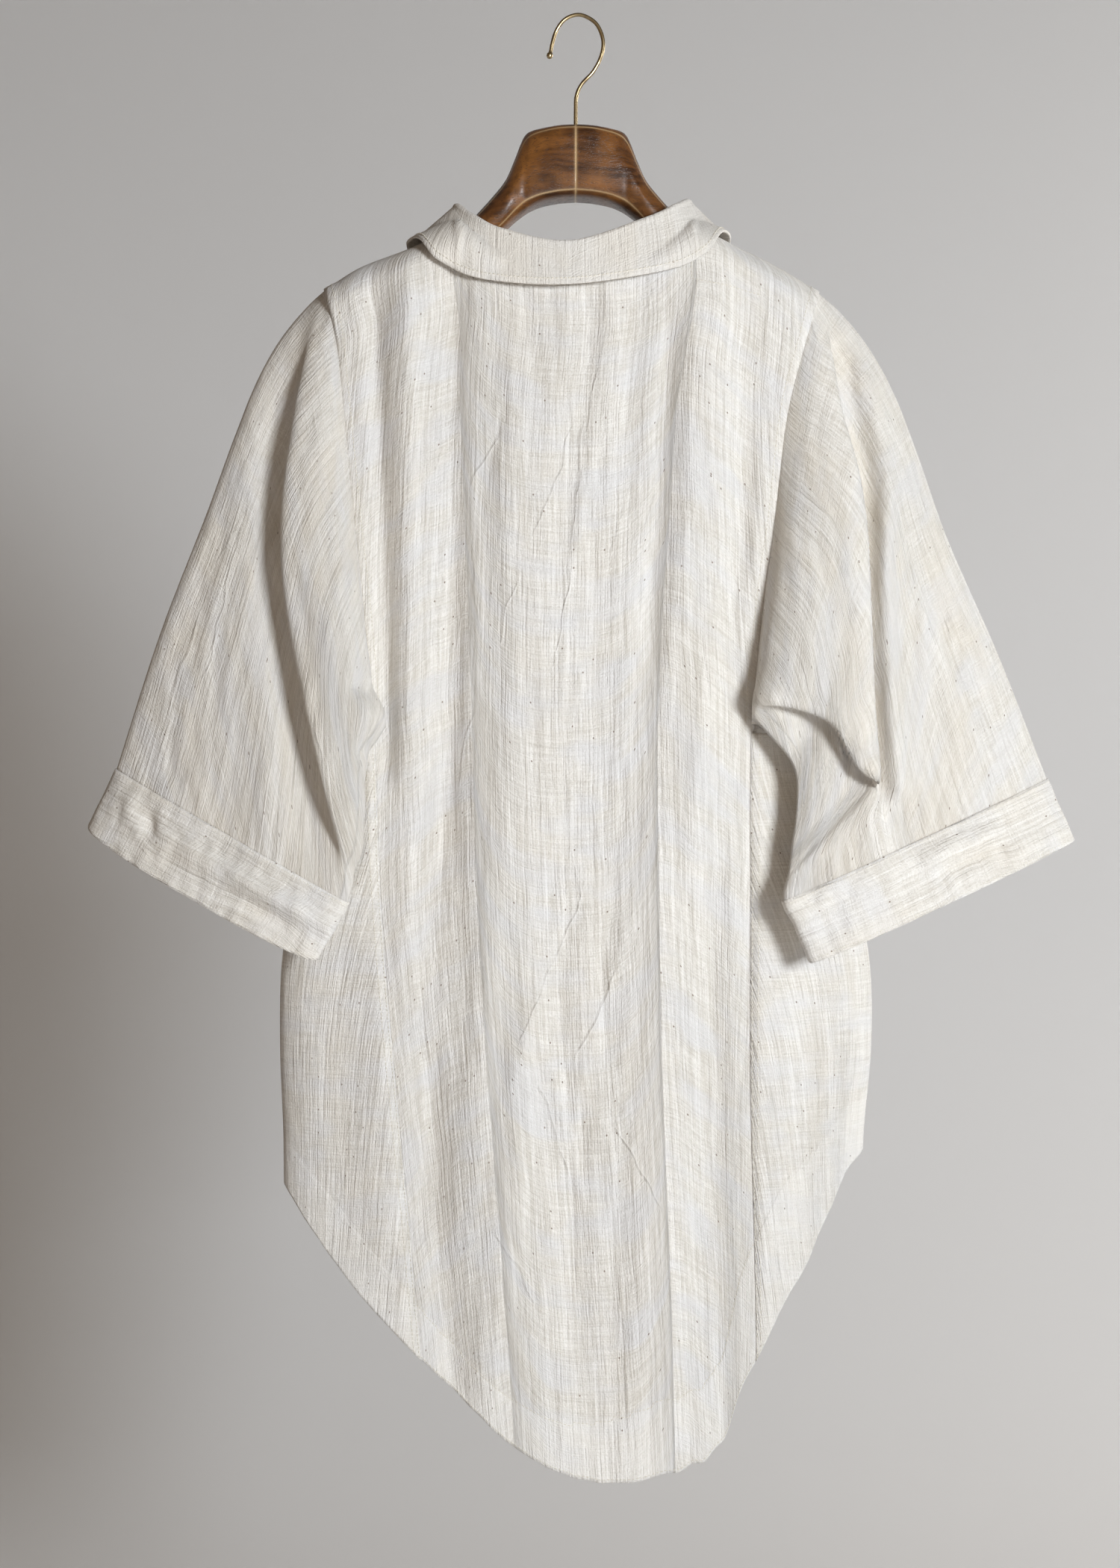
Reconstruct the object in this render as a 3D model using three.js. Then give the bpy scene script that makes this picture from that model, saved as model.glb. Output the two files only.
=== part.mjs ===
import * as THREE from "three";

// A farmer shirt of handwoven cotton on a wooden hanger, hung by the hanger's hook.
// Millimetres, +Z up. The origin is the inside of the hook's top, where a rail bears.
// The shirt's back faces -Y and its buttoned front faces +Y. The wearer's left is -X.

// Driving sizes of the cloth
const CLOTH = 1.6;
const DOUBLE_CLOTH = 2.2;
const SEAM = 0.3;
const UNDERARM_Z = -595;
const PLACKET_HALF = 16;

// How many cells each stretch of cloth has
const ARC_ROWS = 3;
const CHEST_ROWS = 9;
const SKIRT_ROWS = 14;
const FACING_ROWS = 2;
const SHOULDER_COLUMNS = 5;
const NECK_COLUMNS = 14;
const SIDE_COLUMNS = 6;

const clamp = (v, low = 0, high = 1) => Math.min(Math.max(v, low), high);
const mix = (a, b, t) => a + (b - a) * t;
const soft = (t) => clamp(t) ** 2 * (3 - 2 * clamp(t));
const point = (x, y, z) => new THREE.Vector3(x, y, z);
const steps = (count) => Array.from({ length: count + 1 }, (_, i) => i / count);

// A smooth line through one column of a table, read by another column.
function curve(rows, key, column) {
  const sorted = [...rows].sort((a, b) => a[key] - b[key]);
  const last = sorted.length - 1;
  const slope = (i) => {
    const a = sorted[Math.max(i - 1, 0)];
    const b = sorted[Math.min(i + 1, last)];
    return (b[column] - a[column]) / (b[key] - a[key]);
  };
  return (value) => {
    let i = 0;
    while (i < last - 1 && value > sorted[i + 1][key]) i += 1;
    const a = sorted[i];
    const b = sorted[i + 1];
    const run = b[key] - a[key];
    const t = clamp((value - a[key]) / run);
    const start = (2 * t ** 3 - 3 * t ** 2 + 1) * a[column];
    const end = (3 * t ** 2 - 2 * t ** 3) * b[column];
    const leave = (t ** 3 - 2 * t ** 2 + t) * run * slope(i);
    const arrive = (t ** 3 - t ** 2) * run * slope(i + 1);
    return start + end + leave + arrive;
  };
}

// Unit normals of a grid of points, worked out from its cells. A closed grid wraps round.
function normalsOf(grid, closed) {
  const rows = grid.length;
  const columns = grid[0].length;
  const normals = grid.map((row) => row.map(() => point(0, 0, 0)));
  for (let i = 0; i + 1 < rows; i += 1) {
    for (let j = 0; j < (closed ? columns : columns - 1); j += 1) {
      const next = (j + 1) % columns;
      const across = grid[i + 1][next].clone().sub(grid[i][j]);
      const back = grid[i + 1][j].clone().sub(grid[i][next]);
      const normal = across.cross(back);
      normals[i][j].add(normal);
      normals[i + 1][j].add(normal);
      normals[i][next].add(normal);
      normals[i + 1][next].add(normal);
    }
  }
  normals.forEach((row) => row.forEach((n) => n.normalize()));
  return normals;
}

// A piece of cloth: its points, their normals, and the edges where it is sewn.
// Its outside is the side that looks along outward, or away from the middle of a closed ring.
function cloth(grid, outward, closed = false) {
  const last = grid.length - 1;
  const end = grid[0].length - 1;
  const column = (j, from, to) => steps(to - from).map((_, k) => [from + k, j]);
  const normals = normalsOf(grid, closed);
  const looks = grid.map((row, i) => {
    const middle = row.reduce((sum, p) => sum.add(p), point(0, 0, 0)).divideScalar(row.length);
    const away = (p) => outward ?? p.clone().sub(middle);
    return row.reduce((sum, p, j) => sum + normals[i][j].dot(away(p)), 0);
  });
  const facing = Math.sign(looks.reduce((sum, look) => sum + look, 0));
  normals.forEach((row) => row.forEach((n) => n.multiplyScalar(facing)));
  return {
    grid,
    closed,
    normals,
    top: grid[0].map((_, j) => [0, j]),
    bottom: grid[0].map((_, j) => [last, j]),
    left: (from = 0, to = last) => column(0, from, to),
    right: (from = 0, to = last) => column(end, from, to),
  };
}

// Two edges that are sewn together get one shared normal at each stitch.
function sew(a, edgeA, b, edgeB) {
  edgeA.forEach(([i, j], k) => {
    const [m, n] = edgeB[k];
    const shared = a.normals[i][j].clone().add(b.normals[m][n]).normalize();
    a.normals[i][j] = shared;
    b.normals[m][n] = shared.clone();
  });
}

// Draws an edge back by half the seam's gap, towards the row or column beside it.
function drawBack(piece, edge, along, distance = SEAM / 2) {
  const moves = edge.map(([i, j]) => {
    const beside = piece.grid[i + along[0]][j + along[1]];
    const step = beside.clone().sub(piece.grid[i][j]).setLength(distance);
    return [i, j, step];
  });
  moves.forEach(([i, j, step]) => piece.grid[i][j].add(step));
}

// The closed wall of a piece of cloth, with its thickness laid half to each side.
function wall(piece, thickness = CLOTH) {
  const { grid, normals, closed } = piece;
  const rows = grid.length;
  const columns = grid[0].length;
  const layer = rows * columns;
  const vertices = [];
  for (const side of [0.5, -0.5]) {
    grid.forEach((row, i) =>
      row.forEach((p, j) => {
        const v = p.clone().addScaledVector(normals[i][j], side * thickness);
        vertices.push(v.x, v.y, v.z);
      }),
    );
  }
  const faces = [];
  const quad = (a, b, c, d) => faces.push(a, b, c, a, c, d);
  const id = (i, j) => i * columns + (j % columns);
  for (let i = 0; i + 1 < rows; i += 1) {
    for (let j = 0; j < (closed ? columns : columns - 1); j += 1) {
      const corners = [id(i, j), id(i + 1, j), id(i + 1, j + 1), id(i, j + 1)];
      const at = (k) => point(...vertices.slice(3 * corners[k], 3 * corners[k] + 3));
      const turn = at(0).distanceTo(at(2)) > at(1).distanceTo(at(3)) ? 1 : 0;
      const [a, b, c, d] = [0, 1, 2, 3].map((k) => corners[(k + turn) % 4]);
      quad(a, b, c, d);
      faces.push(layer + a, layer + c, layer + b, layer + a, layer + d, layer + c);
    }
  }
  for (let j = 0; j < (closed ? columns : columns - 1); j += 1) {
    quad(id(0, j), id(0, j + 1), layer + id(0, j + 1), layer + id(0, j));
    const i = rows - 1;
    quad(id(i, j), layer + id(i, j), layer + id(i, j + 1), id(i, j + 1));
  }
  for (let i = 0; !closed && i + 1 < rows; i += 1) {
    const j = columns - 1;
    quad(id(i, 0), layer + id(i, 0), layer + id(i + 1, 0), id(i + 1, 0));
    quad(id(i, j), id(i + 1, j), layer + id(i + 1, j), layer + id(i, j));
  }
  return solid(vertices, faces);
}

// A closed geometry from its vertices and faces, turned to face out.
function solid(vertices, faces) {
  let volume = 0;
  const at = (k) => point(...vertices.slice(3 * k, 3 * k + 3));
  for (let i = 0; i < faces.length; i += 3) {
    volume += at(faces[i]).dot(at(faces[i + 1]).cross(at(faces[i + 2])));
  }
  const turned = volume < 0 ? [...faces].reverse() : faces;
  const geometry = new THREE.BufferGeometry();
  geometry.setAttribute("position", new THREE.Float32BufferAttribute(vertices, 3));
  geometry.setIndex(turned);
  geometry.computeVertexNormals();
  return geometry;
}

// A closed solid through rings of points, with a flat fan over each end.
function loft(rings) {
  const count = rings[0].length;
  const vertices = rings.flat().flatMap((p) => [p.x, p.y, p.z]);
  const faces = [];
  for (let i = 0; i + 1 < rings.length; i += 1) {
    for (let j = 0; j < count; j += 1) {
      const [a, b] = [i * count + j, i * count + ((j + 1) % count)];
      faces.push(a, b, b + count, a, b + count, a + count);
    }
  }
  for (const end of [0, rings.length - 1]) {
    const middle = rings[end].reduce((sum, p) => sum.add(p), point(0, 0, 0));
    middle.divideScalar(count);
    vertices.push(middle.x, middle.y, middle.z);
    const hub = vertices.length / 3 - 1;
    for (let j = 0; j < count; j += 1) {
      const [a, b] = [end * count + j, end * count + ((j + 1) % count)];
      faces.push(...(end === 0 ? [hub, b, a] : [hub, a, b]));
    }
  }
  return solid(vertices, faces);
}

// The body in plan: half its width to each side and half its depth, level by level.
const BODY_PLAN = [
  { z: -150, left: 254, right: 252, deep: 42 },
  { z: -300, left: 244, right: 238, deep: 42 },
  { z: -450, left: 224, right: 214, deep: 43 },
  { z: -595, left: 206, right: 198, deep: 44 },
  { z: -650, left: 214, right: 208, deep: 45 },
  { z: -720, left: 232, right: 230, deep: 45 },
  { z: -780, left: 243, right: 243, deep: 45 },
  { z: -850, left: 245, right: 245, deep: 44 },
  { z: -940, left: 242, right: 238, deep: 42 },
  { z: -1210, left: 242, right: 237, deep: 38 },
];
const BODY_ROUNDNESS = 2.4;
const leftHalf = curve(BODY_PLAN, "z", "left");
const rightHalf = curve(BODY_PLAN, "z", "right");
const halfDepth = curve(BODY_PLAN, "z", "deep");
const halfWidth = (x, z) => (x < 0 ? leftHalf(z) : rightHalf(z));

// The seam that bounds the back and front: the armhole, then the seam of the side gore.
const SEAM_LINES = [
  { z: -227, left: -207, right: 200 },
  { z: -264, left: -197, right: 190 },
  { z: -330, left: -190, right: 173 },
  { z: -415, left: -182, right: 163 },
  { z: -490, left: -174, right: 153 },
  { z: -595, left: -166, right: 144 },
  { z: -730, left: -160, right: 143 },
  { z: -880, left: -148, right: 143 },
  { z: -1060, left: -131, right: 147 },
  { z: -1210, left: -118, right: 148 },
];
const leftSeam = curve(SEAM_LINES, "z", "left");
const rightSeam = curve(SEAM_LINES, "z", "right");

// The crest of the shoulders, from the neck out to the sleeve heads.
const NECK_HALF = 98;
const SHOULDER_CREST = [
  { x: -207, z: -227 },
  { x: -177, z: -209 },
  { x: -140, z: -195.5 },
  { x: -98, z: -179 },
  { x: 98, z: -179 },
  { x: 140, z: -196 },
  { x: 172, z: -212 },
  { x: 200, z: -229 },
];
const crestZ = curve(SHOULDER_CREST, "x", "z");

// The hem. The back tail is long and cut round; the front tail is shorter.
const BACK_HEM = [
  { x: -242, z: -966 },
  { x: -174, z: -1055 },
  { x: -99, z: -1135 },
  { x: -46, z: -1184 },
  { x: 15, z: -1206 },
  { x: 83, z: -1196 },
  { x: 118, z: -1174 },
  { x: 136, z: -1129 },
  { x: 165, z: -1073 },
  { x: 192, z: -1024 },
  { x: 225, z: -951 },
  { x: 238, z: -938 },
];
const FRONT_HEM = [
  { x: -242, z: -966 },
  { x: -170, z: -1030 },
  { x: -80, z: -1082 },
  { x: 0, z: -1098 },
  { x: 80, z: -1080 },
  { x: 170, z: -1022 },
  { x: 238, z: -938 },
];
const backHem = curve(BACK_HEM, "x", "z");
const frontHem = curve(FRONT_HEM, "x", "z");
const HEM_LEVEL = -1100;

// The facing inside the back hem, by its height above the hem from place to place.
const FACING = [
  { x: -242, rise: 40 },
  { x: -190, rise: 47 },
  { x: -100, rise: 41 },
  { x: -6, rise: 46 },
  { x: 60, rise: 60 },
  { x: 115, rise: 66 },
  { x: 136, rise: 96 },
  { x: 168, rise: 102 },
  { x: 212, rise: 66 },
  { x: 238, rise: 42 },
];
const facingRise = curve(FACING, "x", "rise");

// The levels of one column of the skirt: even down to the facing's line, then across it.
function skirtLevels(hemZ, rise) {
  const line = hemZ + rise;
  const above = SKIRT_ROWS - FACING_ROWS;
  const upper = steps(above).map((t) => mix(UNDERARM_Z, line, t));
  return [...upper, ...steps(FACING_ROWS).slice(1).map((t) => mix(line, hemZ, t))];
}

// The large soft folds. Each runs from its top to its foot; a valley has a negative height.
const BACK_FOLDS = [
  { topX: -162, topZ: -230, footX: -148, footZ: -620, wide: 11, height: -5 },
  { topX: -130, topZ: -220, footX: -128, footZ: -640, wide: 18, height: 4 },
  { topX: -99, topZ: -220, footX: -106, footZ: -760, wide: 20, height: -8 },
  { topX: -45, topZ: -300, footX: -60, footZ: -1120, wide: 34, height: 5 },
  { topX: -108, topZ: -650, footX: -132, footZ: -960, wide: 13, height: -9 },
  { topX: -112, topZ: -900, footX: -98, footZ: -1160, wide: 12, height: -8 },
  { topX: 22, topZ: -240, footX: -12, footZ: -620, wide: 13, height: 3 },
  { topX: -20, topZ: -700, footX: 14, footZ: -1180, wide: 15, height: -5 },
  { topX: 76, topZ: -250, footX: 60, footZ: -620, wide: 15, height: -5 },
  { topX: 104, topZ: -230, footX: 98, footZ: -700, wide: 24, height: 7 },
  { topX: 70, topZ: -640, footX: 62, footZ: -1120, wide: 26, height: 5 },
  { topX: 112, topZ: -760, footX: 110, footZ: -1160, wide: 16, height: -5 },
  { topX: 148, topZ: -240, footX: 124, footZ: -580, wide: 12, height: -4 },
  { topX: -196, topZ: -760, footX: -190, footZ: -1040, wide: 18, height: -4 },
  { topX: 196, topZ: -740, footX: 188, footZ: -1020, wide: 18, height: -4 },
];
const FRONT_FOLDS = [
  { topX: -150, topZ: -240, footX: -132, footZ: -640, wide: 16, height: -5 },
  { topX: -104, topZ: -250, footX: -112, footZ: -760, wide: 24, height: 6 },
  { topX: -62, topZ: -330, footX: -74, footZ: -1060, wide: 20, height: -6 },
  { topX: 58, topZ: -320, footX: 70, footZ: -1040, wide: 22, height: -6 },
  { topX: 106, topZ: -250, footX: 116, footZ: -820, wide: 22, height: 6 },
  { topX: 152, topZ: -260, footX: 128, footZ: -600, wide: 14, height: -4 },
  { topX: -184, topZ: -700, footX: -176, footZ: -1010, wide: 20, height: -5 },
  { topX: 182, topZ: -720, footX: 176, footZ: -1000, wide: 20, height: -4 },
];
const FOLD_FADE = 70;

function foldHeight(folds, x, z) {
  return folds.reduce((sum, fold) => {
    const down = (fold.topZ - z) / (fold.topZ - fold.footZ);
    const off = (x - mix(fold.topX, fold.footX, clamp(down))) / fold.wide;
    const ends = soft((fold.topZ + FOLD_FADE - z) / FOLD_FADE) * soft((z - fold.footZ + FOLD_FADE) / FOLD_FADE);
    return sum + fold.height * Math.exp(-off * off) * ends;
  }, 0);
}

// The cloth's distance from the middle plane, before and with its folds.
function plainDepth(x, z) {
  const share = clamp(Math.abs(x) / halfWidth(x, z));
  return halfDepth(z) * (1 - share ** BODY_ROUNDNESS) ** (1 / BODY_ROUNDNESS);
}
function bodyY(facing, x, z) {
  const share = clamp(Math.abs(x) / halfWidth(x, z));
  const folds = facing < 0 ? BACK_FOLDS : FRONT_FOLDS;
  return facing * (plainDepth(x, z) + foldHeight(folds, x, z) * (1 - share ** 6));
}

// The neckline, by the angle from the middle of the back: 90 degrees is the shoulder's inner end.
const BACK_NECK_Z = -221;
const FRONT_NECK_Z = -262;
const NECK_DEEP = 43;
const NECK_ROUNDNESS = 3;
const NECK_DIP = 3;
function neckPoint(angle) {
  const facing = Math.cos(angle) > 0 ? -1 : 1;
  const reach = Math.abs(Math.cos(angle)) ** (2 / NECK_ROUNDNESS);
  const aside = Math.abs(Math.sin(angle)) ** (2 / NECK_ROUNDNESS);
  const dip = (facing < 0 ? BACK_NECK_Z : FRONT_NECK_Z) - crestZ(NECK_HALF);
  const x = NECK_HALF * Math.sign(Math.sin(angle)) * aside;
  return point(x, facing * NECK_DEEP * reach, crestZ(NECK_HALF) + dip * reach ** NECK_DIP);
}

// One column of the back or front, from the neck or the shoulder crest down to its hem.
const CREST_DROP = 26;
const NECK_DROP = 9;
const dropAt = (y) => mix(CREST_DROP, NECK_DROP, clamp(Math.abs(y) / NECK_DEEP));
function bodyColumn(facing, top, acrossAt) {
  const drop = dropAt(top.y);
  const hemX = acrossAt(HEM_LEVEL);
  const hemZ = facing < 0 ? backHem(hemX) : frontHem(hemX);
  const place = (z) => {
    const x = acrossAt(z);
    return point(x, bodyY(facing, x, z), z);
  };
  const chest = place(top.z - drop);
  const arc = steps(ARC_ROWS).map((t) => {
    const turn = (t * Math.PI) / 2;
    const x = mix(top.x, chest.x, 1 - Math.cos(turn));
    return point(x, mix(top.y, chest.y, Math.sin(turn)), top.z - drop * (1 - Math.cos(turn)));
  });
  const upper = steps(CHEST_ROWS).slice(1).map((t) => place(mix(top.z - drop, UNDERARM_Z, t)));
  const lower = skirtLevels(hemZ, facingRise(hemX)).slice(1).map(place);
  return [...arc, ...upper, ...lower];
}

// The tops of a panel's columns: along a shoulder, round the neck, along the other shoulder.
const shoulderTops = (side) => {
  const tip = side < 0 ? SHOULDER_CREST[0].x : SHOULDER_CREST.at(-1).x;
  return steps(SHOULDER_COLUMNS).map((t) => {
    const x = mix(tip, side * NECK_HALF, t);
    return point(x, 0, crestZ(x));
  });
};
function panelGrid(facing, tops, leftLine, rightLine) {
  const [left, right] = [tops[0].x, tops.at(-1).x];
  const columns = tops.map((top) => {
    const across = (top.x - left) / (right - left);
    return bodyColumn(facing, top, (z) => mix(leftLine(z), rightLine(z), across));
  });
  return columns[0].map((_, i) => columns.map((column) => column[i]));
}
const quarter = Math.PI / 2;
const backNeck = steps(NECK_COLUMNS).map((t) => neckPoint(mix(-quarter, quarter, t)));
const [toBack, toFront] = [point(0, -1, 0), point(0, 1, 0)];
const backTops = [...shoulderTops(-1), ...backNeck.slice(1, -1), ...shoulderTops(1).reverse()];
const back = cloth(panelGrid(-1, backTops, leftSeam, rightSeam), toBack);
const frontEdge = (side) => () => side * (PLACKET_HALF + SEAM / 2);
const frontEdgeAngle = Math.PI - Math.asin((frontEdge(1)() / NECK_HALF) ** (NECK_ROUNDNESS / 2));
const frontNeck = (side) =>
  steps(NECK_COLUMNS / 2).map((t) => neckPoint(side * mix(quarter, frontEdgeAngle, t)));
const frontTops = (side) => [...shoulderTops(side), ...frontNeck(side).slice(1)];
const frontLeft = cloth(panelGrid(1, frontTops(-1), leftSeam, frontEdge(-1)), toFront);
const rightTops = frontTops(1).reverse();
const frontRight = cloth(panelGrid(1, rightTops, frontEdge(1), rightSeam), toFront);

// A side gore wraps from the back seam round the side to the front seam, below the underarm.
function sidePoint(side, turn, z) {
  const seamX = side < 0 ? leftSeam(z) : rightSeam(z);
  const half = halfWidth(side, z);
  const start = Math.acos((Math.abs(seamX) / half) ** (BODY_ROUNDNESS / 2));
  const angle = mix(-start, start, turn);
  const x = side * half * Math.cos(angle) ** (2 / BODY_ROUNDNESS);
  return point(x, angle === 0 ? 0 : bodyY(Math.sign(angle), x, z), z);
}
function sideGrid(side) {
  const columns = steps(SIDE_COLUMNS).map((turn) => {
    const hemX = sidePoint(side, turn, HEM_LEVEL).x;
    const hemZ = turn <= 0.5 ? backHem(hemX) : frontHem(hemX);
    return skirtLevels(hemZ, facingRise(hemX)).map((z) => sidePoint(side, turn, z));
  });
  return columns[0].map((_, i) => columns.map((column) => column[i]));
}
const sideLeft = cloth(sideGrid(-1), point(-1, 0, 0));
const sideRight = cloth(sideGrid(1), point(1, 0, 0));

// A sleeve between its upper outline and its inner edge, station by station down to the cuff.
// outX, outZ: the outline seen from behind. inX, inZ, inY: the inner edge, which hangs over
// the back of the body. rear and fore: how far the cloth stands off to the back and front.
const SLEEVES = {
  left: {
    stations: [
      { t: 0, outX: -207, outZ: -227, outY: 0, inX: -166, inZ: -595, inY: -31, rear: 8, fore: 30 },
      { t: 0.1, outX: -232, outZ: -250, outY: -2, inX: -156, inZ: -586, inY: -46, rear: 14, fore: 30 },
      { t: 0.2, outX: -255, outZ: -283, outY: -4, inX: -161, inZ: -602, inY: -52, rear: 16, fore: 30 },
      { t: 0.35, outX: -281, outZ: -347, outY: -6, inX: -170, inZ: -628, inY: -57, rear: 17, fore: 27 },
      { t: 0.5, outX: -304, outZ: -411, outY: -8, inX: -172, inZ: -652, inY: -60, rear: 17, fore: 25 },
      { t: 0.75, outX: -343, outZ: -514, outY: -12, inX: -172, inZ: -690, inY: -64, rear: 17, fore: 21 },
      { t: 1, outX: -378, outZ: -626, outY: -17, inX: -184, inZ: -733, inY: -66, rear: 17, fore: 18 },
    ],
    hem: { outX: -401, outZ: -671, outY: -18, inX: -207, inZ: -776, inY: -64, rear: 20, fore: 20, sag: 10 },
  },
  right: {
    stations: [
      { t: 0, outX: 200, outZ: -229, outY: 0, inX: 144, inZ: -595, inY: -30, rear: 8, fore: 30 },
      { t: 0.1, outX: 232, outZ: -257, outY: -2, inX: 143, inZ: -578, inY: -52, rear: 16, fore: 30 },
      { t: 0.2, outX: 255, outZ: -293, outY: -4, inX: 154, inZ: -594, inY: -56, rear: 18, fore: 30 },
      { t: 0.35, outX: 281, outZ: -360, outY: -6, inX: 175, inZ: -622, inY: -57, rear: 17, fore: 27 },
      { t: 0.5, outX: 306, outZ: -432, outY: -8, inX: 178, inZ: -650, inY: -60, rear: 17, fore: 25 },
      { t: 0.75, outX: 348, outZ: -530, outY: -12, inX: 173, inZ: -690, inY: -64, rear: 17, fore: 21 },
      { t: 1, outX: 388, outZ: -634, outY: -16, inX: 168, inZ: -732, inY: -66, rear: 17, fore: 18 },
    ],
    hem: { outX: 410, outZ: -682, outY: -18, inX: 188, inZ: -780, inY: -64, rear: 20, fore: 20, sag: 3 },
  },
};

// The big fold of each sleeve: the line of its sharp outer edge, level by level.
const LEFT_FOLD_EDGE = [
  { z: -250, x: -224 },
  { z: -350, x: -235 },
  { z: -440, x: -238 },
  { z: -500, x: -232 },
  { z: -590, x: -213 },
  { z: -700, x: -187 },
];
const RIGHT_FOLD_EDGE = [
  { z: -270, x: 216 },
  { z: -340, x: 222 },
  { z: -400, x: 231 },
  { z: -500, x: 234 },
  { z: -570, x: 236 },
  { z: -640, x: 241 },
];
// The lower rim of the right sleeve's fold, where it turns under.
const RIGHT_FOLD_RIM = [
  { x: 150, z: -574 },
  { x: 184, z: -578 },
  { x: 206, z: -590 },
  { x: 222, z: -618 },
  { x: 242, z: -640 },
];
const leftFoldEdge = curve(LEFT_FOLD_EDGE, "z", "x");
const rightFoldEdge = curve(RIGHT_FOLD_EDGE, "z", "x");
const rightFoldRim = curve(RIGHT_FOLD_RIM, "x", "z");
const FOLD_EDGE_WIDE = 18;

function leftSleeveFold(x, z) {
  const inside = x - leftFoldEdge(z);
  const fade = soft((-235 - z) / 60) * soft((z + 730) / 110);
  const step = soft(0.5 + inside / FOLD_EDGE_WIDE / 2);
  const valley = Math.exp(-(((inside + 22) / 18) ** 2));
  return fade * (15 * step - 10 * valley);
}
function rightSleeveFold(x, z) {
  const inside = rightFoldEdge(z) - x;
  const above = z - rightFoldRim(x);
  const step = soft(0.5 + inside / FOLD_EDGE_WIDE / 2) * soft(0.5 + above / FOLD_EDGE_WIDE / 2);
  const valley = Math.exp(-(((inside + 22) / 18) ** 2)) * soft((z + 660) / 60);
  return soft((-250 - z) / 70) * (20 * step - 6 * valley);
}

// Moves a point of a sleeve out of the body that it hangs against, straight away from its middle.
// The sleeve's front goes on from the chest's own round, and its rear lies over the gore.
const SLEEVE_CLEAR = 7;
function clearOfBody(p, facing) {
  const chest = mix(0.7, 1, soft((-340 - p.z) / 190));
  const gore = soft((-545 - p.z) / 30);
  const reach = facing < 0 ? gore : chest;
  const across = Math.abs(p.x) / (halfWidth(p.x, Math.min(p.z, UNDERARM_Z)) + SLEEVE_CLEAR);
  const along = Math.abs(p.y) / (halfDepth(p.z) + SLEEVE_CLEAR);
  const share = (across ** BODY_ROUNDNESS + along ** BODY_ROUNDNESS) ** (1 / BODY_ROUNDNESS);
  if (share < reach) {
    p.x *= reach / share;
    p.y *= reach / share;
  }
  return p;
}

// One point of a sleeve's ring: share 0 is its upper outline and 1 its inner edge.
const RING_ROUNDNESS = 2.6;
function ringPoint(row, share, facing, fold) {
  const swell = (1 - Math.abs(2 * share - 1) ** RING_ROUNDNESS) ** (1 / RING_ROUNDNESS);
  const x = mix(row.outX, row.inX, share);
  const z = mix(row.outZ, row.inZ, share) - (row.sag ?? 0) * swell * (facing < 0 ? 1 : 0);
  const middle = mix(row.outY, row.inY, share);
  if (facing > 0) return point(x, middle + row.fore * swell, z);
  return point(x, middle - (row.rear + fold(x, z)) * swell, z);
}

const REAR_CELLS = ARC_ROWS + CHEST_ROWS;
const RING_CELLS = 2 * REAR_CELLS + SIDE_COLUMNS;
const UNDERARM_SHARE = 0.86;
const SEATED_AT = { rear: 0.3, fore: 0.46 };
const SLEEVE_STATIONS = [
  0, 0.03, 0.07, 0.12, 0.17, 0.22, 0.28, 0.34, 0.4, 0.46, 0.53, 0.6, 0.67, 0.74, 0.81, 0.88, 0.94, 1,
];
function ringShare(index) {
  const even = (k, cells) => (k / cells + (1 - Math.cos((Math.PI * k) / cells)) / 2) / 2;
  if (index <= REAR_CELLS) return [-1, even(index, REAR_CELLS)];
  const fore = index - REAR_CELLS;
  if (fore <= SIDE_COLUMNS) return [1, mix(1, UNDERARM_SHARE, fore / SIDE_COLUMNS)];
  return [1, UNDERARM_SHARE * (1 - (fore - SIDE_COLUMNS) / REAR_CELLS)];
}
function sleeveRing(row, fold) {
  return Array.from({ length: RING_CELLS }, (_, index) => {
    const [facing, share] = ringShare(index);
    return ringPoint(row, share, facing, fold);
  });
}
function sleeveGrid(armhole, { stations }, fold) {
  const columns = ["outX", "outY", "outZ", "inX", "inY", "inZ", "rear", "fore"];
  const lines = columns.map((column) => [column, curve(stations, "t", column)]);
  return SLEEVE_STATIONS.map((t) => {
    if (t === 0) return armhole.map((p) => p.clone());
    const row = Object.fromEntries(lines.map(([column, line]) => [column, line(t)]));
    return sleeveRing(row, fold).map((p, i) => {
      const [facing] = ringShare(i);
      const seatedAt = facing < 0 ? SEATED_AT.rear : SEATED_AT.fore;
      const seated = 1 - clamp(1 - t / seatedAt) ** 2;
      return clearOfBody(armhole[i].clone().lerp(p, seated), facing);
    });
  });
}

// The armhole's ring: down the back seam, round the top of the gore and up the front seam.
const upTo = (piece, edge) => edge(0, REAR_CELLS).map(([i, j]) => piece.grid[i][j]);
const armholeRing = (rear, gore, fore) => [
  ...rear,
  ...gore.slice(1, -1),
  ...fore.slice(1).reverse(),
];
const leftArmhole = armholeRing(
  upTo(back, back.left),
  sideLeft.grid[0],
  upTo(frontLeft, frontLeft.left),
);
const rightArmhole = armholeRing(
  upTo(back, back.right),
  sideRight.grid[0],
  upTo(frontRight, frontRight.right),
);
const tube = (grid) => cloth(grid, null, true);
const sleeveLeft = tube(sleeveGrid(leftArmhole, SLEEVES.left, leftSleeveFold));
const sleeveRight = tube(sleeveGrid(rightArmhole, SLEEVES.right, rightSleeveFold));

// A cuff is a doubled band that goes on from the sleeve's last ring to its own hem.
function cuffGrid(sleeve, { hem }, fold) {
  const start = sleeve.grid.at(-1);
  const end = sleeveRing(hem, fold);
  return steps(2).map((t) => start.map((p, i) => p.clone().lerp(end[i], t)));
}
const cuffLeft = tube(cuffGrid(sleeveLeft, SLEEVES.left, leftSleeveFold));
const cuffRight = tube(cuffGrid(sleeveRight, SLEEVES.right, rightSleeveFold));

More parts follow.
